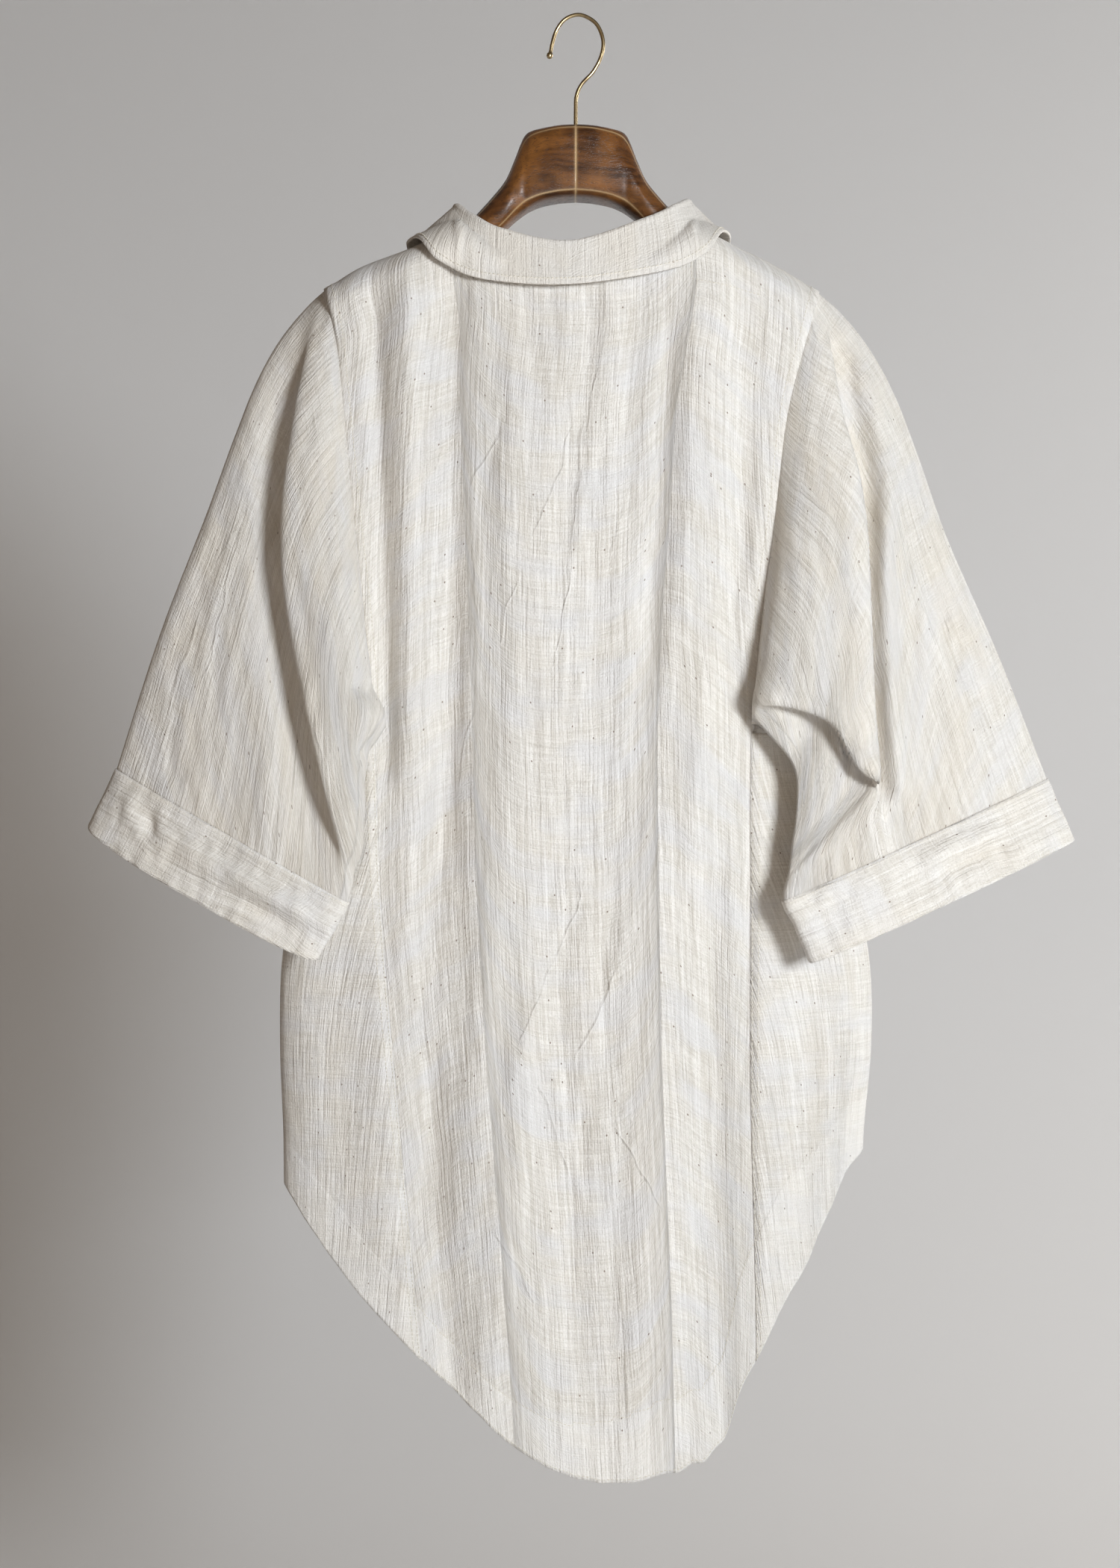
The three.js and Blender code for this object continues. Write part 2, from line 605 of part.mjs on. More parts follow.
// The seams: the shoulders, the sides, the armholes and the cuffs.
const sleeveEdge = (from, count) => steps(count).map((_, i) => [0, (from + i) % RING_CELLS]);
const sleeveRearEdge = sleeveEdge(0, REAR_CELLS);
const sleeveGoreEdge = sleeveEdge(REAR_CELLS, SIDE_COLUMNS);
const sleeveForeEdge = sleeveEdge(REAR_CELLS + SIDE_COLUMNS, REAR_CELLS).reverse();
const LAST_ROW = REAR_CELLS + SKIRT_ROWS;
const FORE_EASE = 0.5;
const halves = [
  { front: frontLeft, gore: sideLeft, sleeve: sleeveLeft, cuff: cuffLeft, edge: "left" },
  { front: frontRight, gore: sideRight, sleeve: sleeveRight, cuff: cuffRight, edge: "right" },
];
for (const { front, gore, sleeve, cuff, edge } of halves) {
  const inward = edge === "left" ? 1 : -1;
  const shoulder = edge === "left" ? [0, SHOULDER_COLUMNS + 1] : [-SHOULDER_COLUMNS - 1];
  const crest = [back.top.slice(...shoulder), front.top.slice(...shoulder)];
  const sideSeam = [REAR_CELLS, LAST_ROW];
  sew(back, back[edge](0, REAR_CELLS), sleeve, sleeveRearEdge);
  sew(front, front[edge](0, REAR_CELLS), sleeve, sleeveForeEdge);
  sew(gore, gore.top, sleeve, sleeveGoreEdge);
  sew(back, back[edge](...sideSeam), gore, gore.left());
  sew(front, front[edge](...sideSeam), gore, gore.right());
  sew(back, crest[0], front, crest[1]);
  sew(sleeve, sleeve.bottom, cuff, cuff.top);
  for (const panel of [back, front]) {
    drawBack(panel, panel[edge](), [0, inward]);
    drawBack(panel, panel.top.slice(...shoulder), [1, 0]);
  }
  drawBack(gore, gore.top, [1, 0]);
  drawBack(gore, gore.left(), [0, 1]);
  drawBack(gore, gore.right(), [0, -1]);
  drawBack(sleeve, sleeve.top, [1, 0]);
  drawBack(sleeve, sleeveForeEdge.slice(1), [1, 0], FORE_EASE);
  drawBack(sleeve, sleeve.bottom, [-1, 0]);
  drawBack(cuff, cuff.top, [1, 0]);
}

// The collar, cut in one piece: a stand that rises from the neckline, a roll and a fall.
// Each row is one place round the neck, from the left front over the back to the right front.
const COLLAR = [
  { turn: -178, foldX: -5, foldY: 50, foldZ: -240, edgeX: -42, edgeY: 50, edgeZ: -306 },
  { turn: -150, foldX: -50, foldY: 44, foldZ: -217, edgeX: -84, edgeY: 49, edgeZ: -276 },
  { turn: -120, foldX: -86, foldY: 28, foldZ: -180, edgeX: -128, edgeY: 38, edgeZ: -226 },
  { turn: -90, foldX: -99, foldY: 3, foldZ: -156, edgeX: -140, edgeY: 0, edgeZ: -192 },
  { turn: -62, foldX: -85, foldY: -25, foldZ: -170, edgeX: -110, edgeY: -40, edgeZ: -213 },
  { turn: -32, foldX: -60, foldY: -38, foldZ: -185, edgeX: -74, edgeY: -50, edgeZ: -228 },
  { turn: 0, foldX: -4, foldY: -44, foldZ: -196, edgeX: -4, edgeY: -55, edgeZ: -233 },
  { turn: 32, foldX: 60, foldY: -38, foldZ: -175, edgeX: 76, edgeY: -49, edgeZ: -220 },
  { turn: 62, foldX: 84, foldY: -25, foldZ: -161, edgeX: 106, edgeY: -40, edgeZ: -206 },
  { turn: 90, foldX: 94, foldY: 3, foldZ: -154, edgeX: 128, edgeY: -2, edgeZ: -187 },
  { turn: 120, foldX: 84, foldY: 28, foldZ: -179, edgeX: 122, edgeY: 36, edgeZ: -224 },
  { turn: 150, foldX: 49, foldY: 44, foldZ: -217, edgeX: 82, edgeY: 49, edgeZ: -276 },
  { turn: 178, foldX: 5, foldY: 50, foldZ: -240, edgeX: 42, edgeY: 50, edgeZ: -306 },
];
const COLLAR_END = (178 * Math.PI) / 180;
const COLLAR_ROLL = 2.6;
const collarTurns = COLLAR.map((row) => ({ ...row, turn: (row.turn * Math.PI) / 180 }));
const collarLine = (column) => curve(collarTurns, "turn", column);
const foldLine = ["foldX", "foldY", "foldZ"].map(collarLine);
const edgeLine = ["edgeX", "edgeY", "edgeZ"].map(collarLine);
const FALL_ROWS = 4;
const FALL_CLEAR = 8;
const ROOT_RISE = { back: SEAM + CLOTH / 2 + 0.6, front: SEAM + CLOTH / 2 + 2 };

// Lifts a point of the fall clear of the shoulder or the chest that it lies on.
function liftOff(p) {
  const facing = p.y < 0 ? -1 : 1;
  const angle = Math.asin(clamp(Math.abs(p.x) / NECK_HALF) ** (NECK_ROUNDNESS / 2));
  const neck = neckPoint(facing < 0 ? angle : Math.PI - angle);
  const top = Math.abs(p.x) < NECK_HALF ? neck : point(p.x, 0, crestZ(p.x));
  const drop = dropAt(top.y);
  const chest = Math.abs(bodyY(facing, p.x, Math.min(p.z, top.z - drop))) + FALL_CLEAR;
  const start = Math.abs(top.y);
  const out = (Math.abs(p.y) - start) / (chest - start);
  const up = (p.z - top.z + drop) / (drop + FALL_CLEAR);
  if (up <= 0) return p.setY(facing * Math.max(Math.abs(p.y), chest));
  const reach = Math.hypot(Math.max(out, 0), up);
  if (reach >= 1 || chest - start < FALL_CLEAR + 1) return p;
  p.y = facing * (start + (Math.max(out, 0) / reach) * (chest - start));
  p.z = top.z - drop + (up / reach) * (drop + FALL_CLEAR);
  return p;
}
function collarColumn(turn) {
  const root = neckPoint(turn);
  root.z += root.y > 0 ? ROOT_RISE.front : ROOT_RISE.back;
  const fold = point(...foldLine.map((line) => line(turn)));
  const edge = point(...edgeLine.map((line) => line(turn)));
  const out = point(edge.x - fold.x, edge.y - fold.y, 0).normalize();
  const inner = fold.clone().addScaledVector(out, -COLLAR_ROLL);
  inner.z -= COLLAR_ROLL;
  const outer = fold.clone().addScaledVector(out, COLLAR_ROLL);
  outer.z -= COLLAR_ROLL;
  const stand = steps(2).map((t) => root.clone().lerp(inner, t));
  const fall = steps(FALL_ROWS).map((t) => liftOff(outer.clone().lerp(edge, t)));
  return [...stand, fold, ...fall];
}
const frontTurns = steps(NECK_COLUMNS / 2).map((t) => mix(quarter, frontEdgeAngle, t));
const halfTurns = [...steps(NECK_COLUMNS / 2).slice(1, -1).map((t) => t * quarter), ...frontTurns];
const collarPlaces = [...halfTurns, COLLAR_END];
const allTurns = [...collarPlaces.map((turn) => -turn).reverse(), 0, ...collarPlaces];
const collarColumns = allTurns.map(collarColumn);
const collar = cloth(
  collarColumns[0].map((_, i) => collarColumns.map((column) => column[i])),
  point(0, 0, 1),
);

// The button bands. The upper one closes the gap between the fronts; the lower lies behind it.
const PLACKET_ROWS = 24;
const NECK_EDGE = neckPoint(Math.PI).z;
function placketGrid(inset, top, foot) {
  return steps(PLACKET_ROWS).map((down) =>
    steps(2).map((t) => {
      const x = mix(-PLACKET_HALF, PLACKET_HALF, t);
      const z = mix(top, frontHem(x) + foot, down);
      return point(x, bodyY(1, x, z) - inset, z);
    }),
  );
}
const placketUpper = cloth(placketGrid(0, NECK_EDGE - 1, 0), toFront);
const placketLower = cloth(placketGrid(CLOTH + SEAM, NECK_EDGE - 1, 4), toFront);

// The hem's facing: a shaped strip inside the back and the rear halves of the gores.
const FACING_INSET = CLOTH + SEAM;
function facingStrip(piece, row, columns) {
  return columns.map((j) => {
    const p = piece.grid[row][j].clone();
    return p.addScaledVector(piece.normals[row][j], -FACING_INSET);
  });
}
const goreHalf = steps(SIDE_COLUMNS / 2).map((_, j) => j);
const backInner = steps(back.grid[0].length - 3).map((_, j) => j + 1);
const facingGrid = steps(FACING_ROWS).map((_, k) => {
  const row = SKIRT_ROWS - FACING_ROWS + k;
  return [
    ...facingStrip(sideLeft, row, [...goreHalf].reverse()),
    ...facingStrip(back, REAR_CELLS + row, backInner),
    ...facingStrip(sideRight, row, goreHalf),
  ];
});
const hemFacing = cloth(facingGrid, toBack);

// The buttons lie on the upper band.
const BUTTONS = 6;
const BUTTON_RADIUS = 5.8;
const BUTTON_THICK = 2.6;
const BUTTON_TOP = -284;
const BUTTON_PITCH = 118;
function buttonPlace(index) {
  const z = BUTTON_TOP - index * BUTTON_PITCH;
  return point(0, bodyY(1, 0, z) + CLOTH / 2 + SEAM + BUTTON_THICK / 2, z);
}

// The hanger: a thick neck block that sweeps out into two arms inside the shoulders.
// half is half its thickness, taper narrows its upper side, square is its corners' sharpness.
const HANGER = [
  { x: 0.15, top: -92, foot: -152, half: 22, taper: 0.04, square: 4.5 },
  { x: 14, top: -92.6, foot: -153, half: 22, taper: 0.07, square: 4.5 },
  { x: 28, top: -94.4, foot: -156, half: 21.5, taper: 0.22, square: 4.2 },
  { x: 37, top: -96, foot: -160, half: 21, taper: 0.42, square: 3.6 },
  { x: 42, top: -99, foot: -163.5, half: 20.5, taper: 0.6, square: 3 },
  { x: 46, top: -107, foot: -166.5, half: 20.5, taper: 0.55, square: 2.8 },
  { x: 51, top: -120, foot: -170.5, half: 20, taper: 0.42, square: 2.6 },
  { x: 58, top: -136, foot: -177, half: 19.5, taper: 0.3, square: 2.5 },
  { x: 68, top: -149, foot: -186, half: 18, taper: 0.2, square: 2.4 },
  { x: 82, top: -164.5, foot: -197, half: 16, taper: 0.2, square: 2.3 },
  { x: 97, top: -181, foot: -210, half: 13.5, taper: 0.2, square: 2.2 },
  { x: 120, top: -189.5, foot: -220, half: 17, taper: 0.05, square: 2.1 },
  { x: 150, top: -202.5, foot: -232, half: 19, taper: 0, square: 2.1 },
  { x: 174, top: -215, foot: -243, half: 19, taper: 0, square: 2.1 },
  { x: 186, top: -223, foot: -248, half: 16, taper: 0, square: 2.1 },
  { x: 191, top: -230, foot: -244, half: 9, taper: 0, square: 2.1 },
];
const HANGER_RING = 20;
function hangerRing(row, side) {
  const middle = (row.top + row.foot) / 2;
  const rise = (row.top - row.foot) / 2;
  const bent = (v) => Math.sign(v) * Math.abs(v) ** (2 / row.square);
  return steps(HANGER_RING).slice(0, -1).map((t) => {
    const [c, s] = [bent(Math.cos(2 * Math.PI * t)), bent(Math.sin(2 * Math.PI * t))];
    return point(side * row.x, row.half * c * (1 - row.taper * Math.max(s, 0)), middle + rise * s);
  });
}

// The hook: a round wire bent in one plane, with a small bead at its tip.
const WIRE_RADIUS = 1.6;
const HOOK = [
  { x: 0, z: -91.4, radius: 1.6 },
  { x: 0, z: -78, radius: 1.6 },
  { x: 0.6, z: -66, radius: 1.6 },
  { x: 5, z: -56, radius: 1.6 },
  { x: 14.5, z: -45.5, radius: 1.6 },
  { x: 21, z: -33, radius: 1.6 },
  { x: 22.8, z: -20, radius: 1.6 },
  { x: 18, z: -7, radius: 1.6 },
  { x: 9, z: 0, radius: 1.6 },
  { x: 0, z: WIRE_RADIUS, radius: 1.6 },
  { x: -9.5, z: -2.6, radius: 1.6 },
  { x: -16, z: -11.5, radius: 1.6 },
  { x: -19.4, z: -22, radius: 1.6 },
  { x: -20.8, z: -29, radius: 1.6 },
  { x: -21.3, z: -31, radius: 2.5 },
  { x: -21.9, z: -33.2, radius: 2.5 },
  { x: -22.4, z: -34.6, radius: 1.2 },
];
const HOOK_STEPS = 44;
const WIRE_SIDES = 8;
function hookRings() {
  const line = new THREE.CatmullRomCurve3(HOOK.map((row) => point(row.x, 0, row.z)));
  const radii = curve(HOOK.map((row, i) => ({ i, radius: row.radius })), "i", "radius");
  return steps(HOOK_STEPS).map((t) => {
    const [middle, along] = [line.getPoint(t), line.getTangent(t)];
    const across = point(-along.z, 0, along.x);
    return steps(WIRE_SIDES).slice(0, -1).map((turn) => {
      const angle = 2 * Math.PI * turn;
      const radius = radii(t * (HOOK.length - 1));
      const ring = middle.clone().addScaledVector(across, radius * Math.cos(angle));
      return ring.setY(radius * Math.sin(angle));
    });
  });
}

// The finishes, and the group that holds every piece by name.
const finish = (color, roughness, metalness = 0) =>
  new THREE.MeshStandardMaterial({ color, roughness, metalness });
const cotton = finish(0xe9e2d3, 0.92);
const collarCotton = finish(0xeee6d4, 0.92);
const walnut = finish(0x7a4a24, 0.38);
const brass = finish(0xa88a58, 0.35, 0.9);
const shell = finish(0xe6dfcf, 0.4);

const shirt = new THREE.Group();
function add(name, geometry, material) {
  const mesh = new THREE.Mesh(geometry, material);
  mesh.name = name;
  shirt.add(mesh);
  return mesh;
}
add("back_panel", wall(back), cotton);
add("front_left_panel", wall(frontLeft), cotton);
add("front_right_panel", wall(frontRight), cotton);
add("side_gore_left", wall(sideLeft), cotton);
add("side_gore_right", wall(sideRight), cotton);
add("sleeve_left", wall(sleeveLeft), cotton);
add("sleeve_right", wall(sleeveRight), cotton);
add("cuff_left", wall(cuffLeft), cotton);
add("cuff_right", wall(cuffRight), cotton);
add("collar", wall(collar, DOUBLE_CLOTH), collarCotton);
add("placket_upper", wall(placketUpper), cotton);
add("placket_lower", wall(placketLower), cotton);
add("hem_facing", wall(hemFacing), cotton);
for (let index = 0; index < BUTTONS; index += 1) {
  const disc = new THREE.CylinderGeometry(BUTTON_RADIUS, BUTTON_RADIUS, BUTTON_THICK, 20);
  add(`button_${index + 1}`, disc, shell).position.copy(buttonPlace(index));
}
add("hanger_left", loft(HANGER.map((row) => hangerRing(row, -1))), walnut);
add("hanger_right", loft(HANGER.map((row) => hangerRing(row, 1))), walnut);
add("hanger_hook", loft(hookRings()), brass);

export default shirt;
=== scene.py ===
import math

import bpy
import numpy as np
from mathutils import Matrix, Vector


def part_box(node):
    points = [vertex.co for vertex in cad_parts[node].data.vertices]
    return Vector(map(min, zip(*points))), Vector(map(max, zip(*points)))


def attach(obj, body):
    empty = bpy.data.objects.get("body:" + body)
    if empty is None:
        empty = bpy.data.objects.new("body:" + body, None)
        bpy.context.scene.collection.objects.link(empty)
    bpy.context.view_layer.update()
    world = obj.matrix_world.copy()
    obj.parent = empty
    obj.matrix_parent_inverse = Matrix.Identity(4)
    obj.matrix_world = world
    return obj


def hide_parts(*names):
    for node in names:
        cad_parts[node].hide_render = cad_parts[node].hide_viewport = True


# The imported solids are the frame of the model. Sizes below are in millimetres, and become metres
# when a mesh is made. The shirt's back faces -Y, and the hook's top is the origin.
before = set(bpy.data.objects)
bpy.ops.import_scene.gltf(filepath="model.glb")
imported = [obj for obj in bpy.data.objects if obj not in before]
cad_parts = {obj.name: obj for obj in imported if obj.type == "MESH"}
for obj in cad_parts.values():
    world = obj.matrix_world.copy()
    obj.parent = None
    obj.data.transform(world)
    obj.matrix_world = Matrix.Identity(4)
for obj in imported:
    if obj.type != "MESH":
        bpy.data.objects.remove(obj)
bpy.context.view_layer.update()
MM = 0.001


# The hanger is two halves of walnut, sawn from a thick board, rounded and varnished. They meet in a
# fine glue line down the middle. Each half swells into a flat arm inside the shirt's shoulder.
def table(columns, *rows):
    """Records from rows of values, whose columns are named once."""
    return [dict(zip(columns.split(), row)) for row in rows]


HANGER = table(
    "x top foot half taper square",
    (0.15, -92.4, -151.6, 21.6, 0.04, 4.5),
    (1.2, -92, -152, 22, 0.04, 4.5),
    (14, -92.6, -153, 22, 0.07, 4.5),
    (28, -94.4, -156, 21.5, 0.22, 4.2),
    (37, -96, -160, 21, 0.42, 3.6),
    (42, -99, -163.5, 20.5, 0.6, 3),
    (46, -107, -166.5, 20.5, 0.55, 2.8),
    (51, -120, -170.5, 20, 0.42, 2.6),
    (58, -136, -177, 19.5, 0.3, 2.5),
    (68, -149, -186, 18, 0.2, 2.4),
    (82, -164.5, -197, 16, 0.2, 2.3),
    (97, -181, -210, 13.5, 0.2, 2.2),
    (120, -189.5, -220, 17, 0.05, 2.1),
    (150, -202.5, -232, 19, 0, 2.1),
    (174, -215, -243, 19, 0, 2.1),
    (186, -223, -248, 16, 0, 2.1),
    (191, -230, -244, 9, 0, 2.1),
)
HANGER_STATIONS = 96
HANGER_SIDES = 96
# Where the sharp edges of a section are, in degrees round it, and how wide the painted highlight along each
# is in radians.
HIGHLIT_CORNERS = (45, 135, 225, 315)
EDGE_HIGHLIGHT_WIDE = 0.05
# How far out the painted edge highlights reach along a half, over what length they fade, and how wide the
# painted highlight on the glue line is.
EDGE_HIGHLIGHT_TO = 110
EDGE_HIGHLIGHT_FADE = 30
JOINT_HIGHLIGHT_WIDE = 0.9


def line_through(rows, key, column):
    """A smooth line through one column of a table, read by another column."""
    table = sorted(rows, key=lambda row: row[key])
    at = np.array([row[key] for row in table], float)
    value = np.array([row[column] for row in table], float)
    slope = np.gradient(value, at)
    slope[1:-1] = (value[2:] - value[:-2]) / (at[2:] - at[:-2])

    def read(x):
        x = np.asarray(x, float)
        i = np.clip(np.searchsorted(at, x) - 1, 0, len(at) - 2)
        run = at[i + 1] - at[i]
        t = np.clip((x - at[i]) / run, 0, 1)
        ends = (2 * t**3 - 3 * t**2 + 1) * value[i] + (3 * t**2 - 2 * t**3) * value[i + 1]
        leave = (t**3 - 2 * t**2 + t) * run * slope[i]
        arrive = (t**3 - t**2) * run * slope[i + 1]
        return ends + leave + arrive

    return read


def mix(a, b, t):
    return a + (b - a) * t


def soft(t):
    """A soft step from 0 to 1."""
    t = np.clip(t, 0, 1)
    return t * t * (3 - 2 * t)


def point(x, y, z):
    return np.stack(np.broadcast_arrays(x, y, z), axis=-1).astype(float)


def lengths_along(points, axis):
    """How far each point of a grid is from the first one, along its row or column."""
    steps = np.linalg.norm(np.diff(points, axis=axis), axis=2)
    start = np.zeros_like(np.take(steps, [0], axis=axis))
    return np.cumsum(np.concatenate([start, steps], axis=axis), axis=axis)


def closed_up(points):
    """The grid of a tube with its first column once more at the end."""
    return np.concatenate([points, points[:, :1]], axis=1)


def unit(vectors):
    return vectors / np.maximum(np.linalg.norm(vectors, axis=-1, keepdims=True), 1e-9)


def add_object(name, data):
    obj = bpy.data.objects.new(name, data)
    bpy.context.scene.collection.objects.link(obj)
    return obj


def mark_points(obj, name, values):
    mask = obj.data.attributes.new(name, "FLOAT", "POINT")
    mask.data.foreach_set("value", np.asarray(values, np.float32).ravel())


def grid_mesh(name, points, cut, closed=False, caps=False):
    """A mesh through a grid of points in millimetres. cut holds the place of each point on the flat
    piece, with one column more on a closed grid, and becomes the UV map of that name."""
    rows, columns = points.shape[:2]
    i, j = np.meshgrid(np.arange(rows - 1), np.arange(columns if closed else columns - 1), indexing="ij")
    corners = [(i, j), (i + 1, j), (i + 1, j + 1), (i, j + 1)]
    faces = np.stack([a * columns + b % columns for a, b in corners], axis=-1).reshape(-1, 4)
    places = np.stack([cut[a, b] for a, b in corners], axis=-2).reshape(-1, 2)
    vertices = points.reshape(-1, 3)
    polygons = faces.tolist()
    if caps:
        polygons.append(list(range(columns)))
        polygons.append(list(range((rows - 1) * columns, rows * columns))[::-1])
        rim = np.concatenate([cut[0, :columns], cut[-1, :columns][::-1]])
        places = np.concatenate([places, rim])
    mesh = bpy.data.meshes.new(name)
    mesh.from_pydata((vertices * MM).tolist(), [], polygons)
    layer = mesh.uv_layers.new(name="cut")
    layer.data.foreach_set("uv", (places * MM).astype(np.float32).ravel())
    mesh.shade_smooth()
    mesh.validate()
    return add_object(name, mesh)


def hanger_half(side):
    count = len(HANGER) - 1
    rows = [{**row, "station": k} for k, row in enumerate(HANGER)]
    station = np.linspace(0, count, HANGER_STATIONS)
    read = {c: line_through(rows, "station", c)(station)[:, None] for c in HANGER[0]}
    turn = np.linspace(0, 2 * math.pi, HANGER_SIDES, endpoint=False)[None, :]

    def bent(v):
        return np.sign(v) * np.abs(v) ** (2 / read["square"])

    across, up = bent(np.cos(turn)), bent(np.sin(turn))
    middle = (read["top"] + read["foot"]) / 2
    rise = (read["top"] - read["foot"]) / 2
    y = read["half"] * across * (1 - read["taper"] * np.maximum(up, 0))
    points = point(side * read["x"], y, middle + rise * up)
    wrapped = closed_up(points)
    cut = np.stack([lengths_along(wrapped, 0), lengths_along(wrapped, 1)], axis=-1)
    if side > 0:
        points, cut = points[:, ::-1], cut[:, ::-1]
    name = "hanger_half_left" if side < 0 else "hanger_half_right"
    half = grid_mesh(name, points, cut, closed=True, caps=True)
    # Painted highlight: the edge mask is 1 along the sharp corners and the glue line, where pale highlights
    # are painted on the walnut.
    corners = sum(np.exp(-(((turn - math.radians(at)) / EDGE_HIGHLIGHT_WIDE) ** 2)) for at in HIGHLIT_CORNERS)
    joint_highlight = np.exp(-((read["x"] / JOINT_HIGHLIGHT_WIDE) ** 2))
    edge = np.clip(corners * soft((EDGE_HIGHLIGHT_TO - read["x"]) / EDGE_HIGHLIGHT_FADE) + joint_highlight, 0, 1)
    mark_points(half, "edge", edge[:, ::-1] if side > 0 else edge)
    return half


def new_material(name):
    material = bpy.data.materials.new(name)
    material.use_nodes = True
    tree = material.node_tree
    return material, tree, tree.nodes["Principled BSDF"]


def feed(tree, node, **inputs):
    """Gives a node's sockets their values or links. i0 is the socket with the number 0."""
    for key, value in inputs.items():
        socket = node.inputs[int(key[1:]) if key[1:].isdigit() else key.replace("_", " ")]
        if isinstance(value, bpy.types.NodeSocket):
            tree.links.new(value, socket)
        else:
            socket.default_value = value


def add_node(tree, kind, settings=None, **inputs):
    """Adds a node. settings are its own properties, and inputs its sockets' values or links."""
    node = tree.nodes.new("ShaderNode" + kind)
    for key, value in (settings or {}).items():
        setattr(node, key, value)
    feed(tree, node, **inputs)
    return node


def maths(tree, operation, a, b=0.0):
    return add_node(tree, "Math", {"operation": operation}, i0=a, i1=b).outputs[0]


def times(tree, a, b):
    return maths(tree, "MULTIPLY", a, b)


def weighted(tree, *terms):
    """The sum of some values, each times its weight."""
    total = None
    for value, weight in terms:
        part = value if weight == 1 else times(tree, value, weight)
        total = part if total is None else maths(tree, "ADD", total, part)
    return total


def colour_mix(tree, share, a, b):
    return add_node(tree, "Mix", {"data_type": "RGBA"}, i0=share, i6=a, i7=b).outputs[2]


def ramp(tree, value, low, high):
    """The value as a share of the way from low to high, held between 0 and 1."""
    ends = {"From_Min": low, "From_Max": high}
    return add_node(tree, "MapRange", {"clamp": True}, Value=value, **ends).outputs[0]


def stretched(tree, places, scale):
    return add_node(tree, "Mapping", Vector=places, Scale=scale).outputs[0]


def noise(tree, places, scale=1.0, detail=2.0, flat=False, output="Fac"):
    """A noise's value or colour, in two dimensions where it is flat."""
    plane = {"noise_dimensions": "2D"} if flat else None
    node = add_node(tree, "TexNoise", plane, Vector=places, Scale=scale, Detail=detail)
    return node.outputs["Color"] if output == "Color" else node.outputs[0]


def shifted(tree, places, by, amount):
    """The places, moved aside by a noise's colour."""
    shift = add_node(tree, "VectorMath", {"operation": "SCALE"}, i0=by, Scale=amount).outputs[0]
    return add_node(tree, "VectorMath", {"operation": "ADD"}, i0=places, i1=shift).outputs[0]


def bumped(tree, height, strength, distance):
    return add_node(tree, "Bump", Height=height, Strength=strength, Distance=distance).outputs[0]


def object_places(tree):
    return add_node(tree, "TexCoord").outputs["Object"]


WALNUT_DARK = (0.045, 0.015, 0.004, 1)
WALNUT_MID = (0.155, 0.058, 0.016, 1)
WALNUT_AMBER_HIGHLIGHT = (0.38, 0.15, 0.032, 1)
WALNUT_EDGE_HIGHLIGHT = (0.62, 0.42, 0.22, 1)
GRAIN_STRETCH = (28, 130, 230)
PORE_STRETCH = (260, 900, 1300)


def walnut():
    """Varnished walnut: fine grain and open pores across the board, painted amber highlights in cloudy
    patches, and painted pale highlights along its sharp edges and its glue line."""
    material, tree, shader = new_material("varnished walnut")
    body = object_places(tree)
    along = shifted(tree, body, noise(tree, body, 16.0, output="Color"), 0.02)
    grain = noise(tree, stretched(tree, along, GRAIN_STRETCH), detail=4.0)
    cloud = noise(tree, body, 30.0, 3.0)
    # The edge mask places the painted pale highlights along the corners and the glue line.
    edge = add_node(tree, "Attribute", {"attribute_name": "edge"}).outputs["Fac"]
    plain = colour_mix(tree, ramp(tree, grain, 0.36, 0.66), WALNUT_DARK, WALNUT_MID)
    # Painted highlight: amber patches mixed into the walnut by cloudy noise.
    amber_highlit = colour_mix(tree, times(tree, ramp(tree, cloud, 0.42, 0.7), 0.6), plain, WALNUT_AMBER_HIGHLIGHT)
    pore = ramp(tree, noise(tree, stretched(tree, along, PORE_STRETCH)), 0.54, 0.68)
    filled = colour_mix(tree, times(tree, pore, 0.6), amber_highlit, WALNUT_DARK)
    # Painted highlight: the pale edge colour, made patchy by the cloud noise.
    edge_highlight = times(tree, edge, maths(tree, "SUBTRACT", 1.1, times(tree, cloud, 0.7)))
    rough = maths(tree, "ADD", weighted(tree, (pore, 0.22), (cloud, 0.14)), 0.26)
    height = maths(tree, "SUBTRACT", times(tree, grain, 0.4), pore)
    feed(
        tree,
        shader,
        Base_Color=colour_mix(tree, edge_highlight, filled, WALNUT_EDGE_HIGHLIGHT),
        Roughness=rough,
        Normal=bumped(tree, height, 0.3, 0.0004),
        Coat_Weight=0.4,
        Coat_Roughness=0.16,
    )
    return material


varnished = walnut()
for side, node in ((-1, "hanger_left"), (1, "hanger_right")):
    half = hanger_half(side)
    half.data.materials.append(varnished)
    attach(half, "root")
    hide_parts(node)


# The hook is a round brass wire, bent cold in one plane and screwed down through the hanger's glue
# line. Its tip ends in a small bead, and the brass has aged brown where hands don't rub it.
HOOK = table(
    "x z radius",
    (0, -91.4, 1.6),
    (0, -78, 1.6),
    (0.6, -66, 1.6),
    (5, -56, 1.6),
    (14.5, -45.5, 1.6),
    (21, -33, 1.6),
    (22.8, -20, 1.6),
    (18, -7, 1.6),
    (9, 0, 1.6),
    (0, 1.6, 1.6),
    (-9.5, -2.6, 1.6),
    (-16, -11.5, 1.6),
    (-19.4, -22, 1.6),
    (-20.8, -29, 1.6),
    (-21.3, -31, 2.5),
    (-21.9, -33.2, 2.5),
    (-22.4, -34.6, 1.2),
)
HOOK_STEPS = 220
WIRE_SIDES = 16
BRASS_WORN = (0.56, 0.44, 0.25, 1)
BRASS_AGED = (0.2, 0.14, 0.08, 1)


